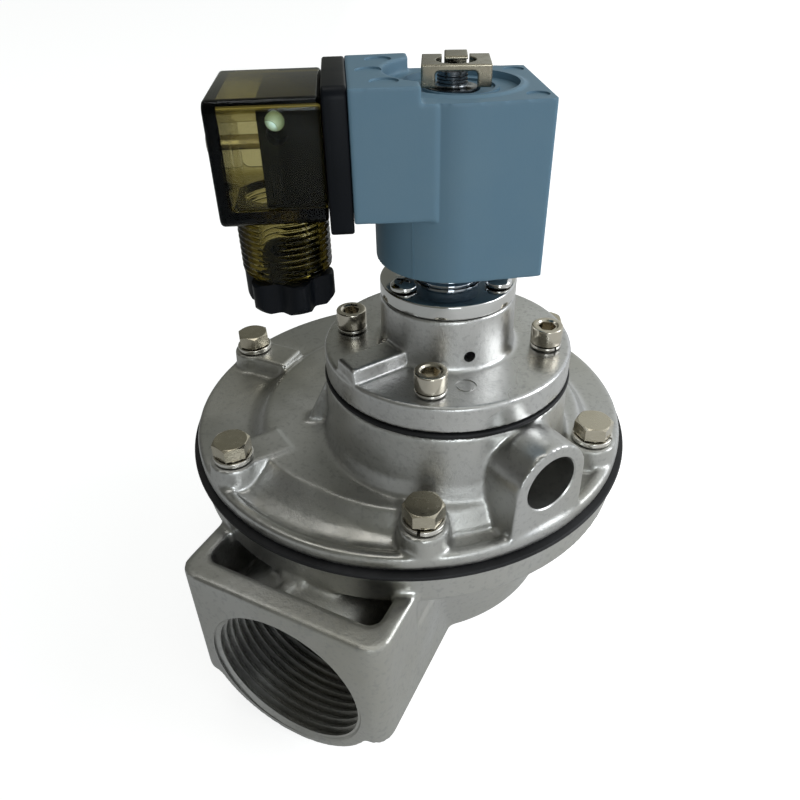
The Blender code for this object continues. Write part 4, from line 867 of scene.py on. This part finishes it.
core = {"radius": 4.0, "neck": 2.9, "groove": 2.6, "ringStep": 0.6, "rise": 0.9}


def makeFixedCore():
    # the stop of the plunger; its slim end stands out of the coil in rings and closes with a small dome
    low, high = nodeBox("fixed_core")
    wide = (high[0] - low[0]) / 2
    z0, z1 = low[2], high[2]
    z, top = heights("coil_shell")[1] - 3.4, z1 + core["rise"]
    neck, groove = core["neck"], core["groove"]
    profile = [(0, z0), (core["radius"], z0), (core["radius"], z0 + 11), (wide, z0 + 11), (wide, z),
               (neck, z)]
    z += 0.3
    while z < z1 - 0.9:
        profile += [(groove, z), (groove, z + 0.2), (neck, z + 0.3), (neck, z + 0.5)]
        z += core["ringStep"]
    profile += [(neck, z1 - 0.5), (1.9, z1 - 0.4), (1.7, z1 + 0.1), (1.2, top - 0.35), (0.6, top - 0.1),
                (0, top)]
    finishPiece(latheObject("fixedCore", profile, 64, pilotPlace), coreSteel, "valve",
                "fixed_core", sharp=50)


makeFixedCore()
makeClip()
print("coil ready")

# Connector
plug = {
    "gasketNear": -19.92, "gasketFar": -24.4, "gasketHalf": 14.5, "gasketDrop": 0.6, "shellNear": -24.6,
    "shellFar": -44.8, "shellHalf": 13.6, "shellLow": 125.7, "wall": 1.7, "farWall": 2.4, "screwZ": 138.1,
    "neckOffset": -34.4, "neckRadius": 9.4, "neckLow": 111.2, "neckFlat": radians(-103), "threadStep": 1.25,
    "windowNear": -32.2, "windowFar": -42.6, "grooves": (-40.9, -39.4, -34.4, -33.0), "nutLow": 104.3,
    "nutHole": 4.6, "lobe": 9.8, "valley": 7.3, "lobePhase": radians(-14), "lampPlace": (-32.7, -11.3, 144.4),
    "lampRadius": 1.75,
}
neckPlace = moved(plug["neckOffset"])


def makeGasket():
    p = plug
    low, high = heights("connector_gasket")
    bm = bmesh.new()
    slab(bm, rounded(-p["gasketHalf"], p["gasketHalf"], low - p["gasketDrop"], high, 2.0), p["gasketFar"],
         p["gasketNear"], axis="X")
    softenEdges(bm, 0.5, 3)
    finishPiece(makeObject("connectorGasket", bm), blackMoulding, "coil", "connector_gasket",
                place=coilPlace)


def makeHousing():
    p = plug
    z0, z1, shellLow = p["neckLow"], heights("connector_housing")[1], p["shellLow"]
    face, far = p["shellHalf"], p["shellFar"]
    bm = bmesh.new()
    slab(bm, rounded(-face, face, shellLow, z1, 2.0), far, p["shellNear"], axis="X")
    softenEdges(bm, 0.8, 3)
    shell = makeObject("connectorHousing", bm)
    radius = p["neckRadius"]
    profile = [(0, z0), (radius - 1.2, z0), (radius - 0.1, z0 + 1.3)]
    z = z0 + 1.5
    while z < shellLow - 1.6:
        profile += [(radius - 0.55, z), (radius, z + 0.42), (radius, z + 0.62), (radius - 0.55, z + 1.04)]
        z += p["threadStep"]
    profile += [(radius - 0.1, z + 0.3), (radius - 0.1, shellLow + 0.6), (0, shellLow + 0.6)]
    neck = latheObject("neckBlank", profile, place=neckPlace)
    flat, out = radius - 0.6, radius + 3
    flats = slabObject("neckFlats", [[
        (side * flat, -6), (side * out, -6), (side * out, 6), (side * flat, 6)] for side in (-1, 1)], z0 - 1,
        shellLow - 0.2, neckPlace @ turned(p["neckFlat"]))
    carve(neck, flats, solver="EXACT")
    carve(shell, neck, operation="UNION", solver="EXACT")
    half = face - p["wall"]
    inside = slabObject("housingInside", [rounded(-half, half, shellLow + p["farWall"], z1 - p["wall"], 1.4)],
                        far + p["farWall"], p["shellNear"] + 2, axis="X")
    bore = slabObject("glandBore", [discOutline(radius - 2.0, p["neckOffset"], 0, 64)], z0 - 1, shellLow + 5)
    screwHole = slabObject("housingScrewHole", [discOutline(coil["lugHole"], 0, p["screwZ"], 24)], far - 1,
                           far + 4, axis="X")
    # a shallow window with round corners in each side, and thin upright grooves in the front one
    window = rounded(p["windowFar"], p["windowNear"], shellLow + 3.2, z1 - 3.4, 1.6)
    windows = [slabObject("housingWindow", [window], y, y + 1, axis="Y") for y in (-face - 0.4, face - 0.6)]
    grooves = slabObject("housingGrooves", [
        rounded(x, x + 0.3, shellLow + 4.4, z1 - 7.6, 0.12, 2) for x in p["grooves"]], 0.3 - face,
        1.05 - face, axis="Y")
    carve(shell, inside, bore, screwHole, *windows, grooves, solver="EXACT")
    finishPiece(shell, smokyClear, "coil", "connector_housing", sharp=35,
                place=coilPlace)


def makeLamp():
    # the indicator lamp: a small dome standing on the terminal block's side
    r = plug["lampRadius"]
    dome = latheObject("indicatorLamp", [(0, -1.4), (r, -1.4)] + arc(r, 0, 7 * pi / 16, 7) + [(0, r)], 32,
                       moved(*plug["lampPlace"]) @ turned(pi / 2, "X"))
    finishPiece(dome, lampClear, "coil", "indicator_lamp", place=coilPlace)


def makeGlandNut():
    p = plug
    z0, z1 = p["nutLow"], p["neckLow"] - 0.25
    lobe, hole = p["lobe"], p["nutHole"]
    outline = []
    for k in range(120):
        a = 2 * pi * k / 120
        r = p["valley"] + (lobe - p["valley"]) * (0.5 + 0.5 * cos(6 * (a - p["lobePhase"]))) ** 0.85
        outline.append((r * cos(a), r * sin(a)))
    nut = slabObject("glandNut", [outline], z0, z1, neckPlace)
    form = latheObject("nutForm", filleted([
        (0, z0 - 0.01), (lobe - 1.1, z0 - 0.01, 0.3), (lobe - 0.2, z0 + 1.2, 0.8), (lobe + 0.1, z0 + 3.0, 1),
        (lobe + 0.1, z1 - 0.6, 0.3), (lobe - 0.5, z1, 0.2), (0, z1 + 0.01)], closed=False), place=neckPlace)
    carve(nut, form, operation="INTERSECT", solver="EXACT")
    carve(nut, latheObject("nutHole", [(0, z0 - 1), (hole, z0 - 1), (hole, z0 + 2.6), (7.3, z0 + 2.6),
                                       (7.3, z1 + 1), (0, z1 + 1)], place=neckPlace), solver="EXACT")
    finishPiece(nut, blackMoulding, "coil", "gland_nut", sharp=30, place=coilPlace)


makeGasket()
makeHousing()
makeLamp()
makeGlandNut()
print("connector ready")

# Pieces that keep their CAD shape
for name in ("main_disc", "main_diaphragm_web", "second_disc", "second_diaphragm_web", "pilot_seal",
             "plunger_seal", "gland_grommet"):
    paint(nodes[name], blackRubber)
for name in ("main_disc_plate", "main_disc_screw", "main_spring", "second_disc_plate", "second_spring",
             "plunger", "plunger_spring"):
    paint(nodes[name], innerSteel)
for index in (1, 2, 3):
    paint(nodes[f"terminal_blade_{index}"], bladeBrass)
paint(nodes["connector_screw"], screwNickel)
paint(nodes["terminal_block"], blackMoulding)

# Camera, from the photograph's perspective
view = {"lens": 32.13, "place": (0.07022, -0.14095, 0.17726), "pan": radians(-27.21), "pitch": radians(35.82),
        "roll": radians(-1.35)}
pan, pitch, roll = view["pan"], view["pitch"], view["roll"]
forward = Vector((sin(pan) * cos(pitch), cos(pan) * cos(pitch), -sin(pitch)))
right = Vector((cos(pan), -sin(pan), 0))
up = right.cross(forward)
across = right * cos(roll) + up * sin(roll)
upward = up * cos(roll) - right * sin(roll)
cameraData = bpy.data.cameras.new("camera")
cameraData.lens = view["lens"]
cameraData.sensor_width = 36
cameraData.clip_start = 0.005
camera = bpy.data.objects.new("camera", cameraData)
scene.collection.objects.link(camera)
camera.matrix_world = Matrix((across, upward, -forward)).transposed().to_4x4()
camera.location = view["place"]
scene.camera = camera

# Floor: white to the camera, and painted darker on the left as painted shade in what the metal mirrors
floorMaterial = bpy.data.materials.new("paleFloor")
floorMaterial.use_nodes = True
tree = floorMaterial.node_tree
place = addNode(tree, "TexCoord").outputs["Object"]
along = addNode(tree, "VectorMath", {0: place, 1: (0.889, 0.457, 0)},
                operation="DOT_PRODUCT").outputs["Value"]
# painted shade: the floor's base colour is darker on the left, and the metal mirrors that as shade
paintedShadeTone = mixColour(tree, span(tree, along, -0.09, 0.05, 0, 1), (0.36, 0.37, 0.37, 1), (0.62, 0.62, 0.62, 1))
rays = tree.nodes.new("ShaderNodeLightPath").outputs
mirrored = maths(tree, "MULTIPLY_ADD", rays["Is Glossy Ray"], 0.16, rays["Is Camera Ray"])
shown = maths(tree, "ADD", mirrored, rays["Is Transmission Ray"], use_clamp=True)
setInputs(tree, tree.nodes["Principled BSDF"], {
    "Base Color": paintedShadeTone, "Roughness": 0.9, "Specular IOR Level": 0.1, "Emission Color": (1, 1, 1, 1),
    "Emission Strength": maths(tree, "MULTIPLY", shown, 0.8)})
bm = bmesh.new()
bmesh.ops.create_grid(bm, x_segments=1, y_segments=1, size=6)
floor = makeObject("floor", bm)
paint(floor, floorMaterial)

# World: a room that is dim on the left and bright toward the window on the right
world = bpy.data.worlds.new("studio")
scene.world = world
world.use_nodes = True
tree = world.node_tree
sky = addNode(tree, "TexCoord").outputs["Generated"]
side = addNode(tree, "VectorMath", {0: sky, 1: right}, operation="DOT_PRODUCT").outputs["Value"]
ramp = addNode(tree, "ValToRGB", {0: span(tree, side, -1, 1, 0, 1)})
stops = [(0.0, (0.11, 0.11, 0.105, 1)), (0.35, (0.19, 0.195, 0.17, 1)), (0.49, (0.165, 0.17, 0.15, 1)),
         (0.58, (0.58, 0.6, 0.56, 1)), (0.66, (0.66, 0.68, 0.66, 1)), (0.8, (0.88, 0.91, 0.92, 1)),
         (1.0, (0.85, 0.9, 0.95, 1))]
first, last = ramp.color_ramp.elements
first.position, first.color = stops[0]
last.position, last.color = stops[-1]
for position, colour in stops[1:-1]:
    ramp.color_ramp.elements.new(position).color = colour
# it shows white to the camera and through the clear plastic, and as the room in the metal
rays = tree.nodes.new("ShaderNodeLightPath").outputs
shown = maths(tree, "ADD", rays["Is Camera Ray"], rays["Is Transmission Ray"], use_clamp=True)
setInputs(tree, tree.nodes["Background"], {
    "Color": mixColour(tree, shown, ramp.outputs[0], (1, 1, 1, 1)), "Strength": 1.0})


def areaLamp(name, place, size, power, colour):
    data = bpy.data.lights.new(name, "AREA")
    data.shape = "RECTANGLE"
    data.size, data.size_y = size
    data.energy = power
    data.color = colour
    lamp = bpy.data.objects.new(name, data)
    scene.collection.objects.link(lamp)
    lamp.location = place
    lamp.rotation_euler = (Vector((0, 0, 0.07)) - Vector(place)).to_track_quat("-Z", "Y").to_euler()


areaLamp("window", (0.75, 0.26, 0.45), (0.5, 0.6), 3.6, (0.95, 0.98, 1))
areaLamp("front", (0.55, -0.78, 0.3), (0.3, 0.4), 2.0, (0.9, 0.96, 1))
areaLamp("overhead", (-0.25, 0.1, 1.3), (0.6, 0.6), 2.0, (1, 0.99, 0.96))

scene.view_settings.view_transform = "Standard"
print("stage ready")
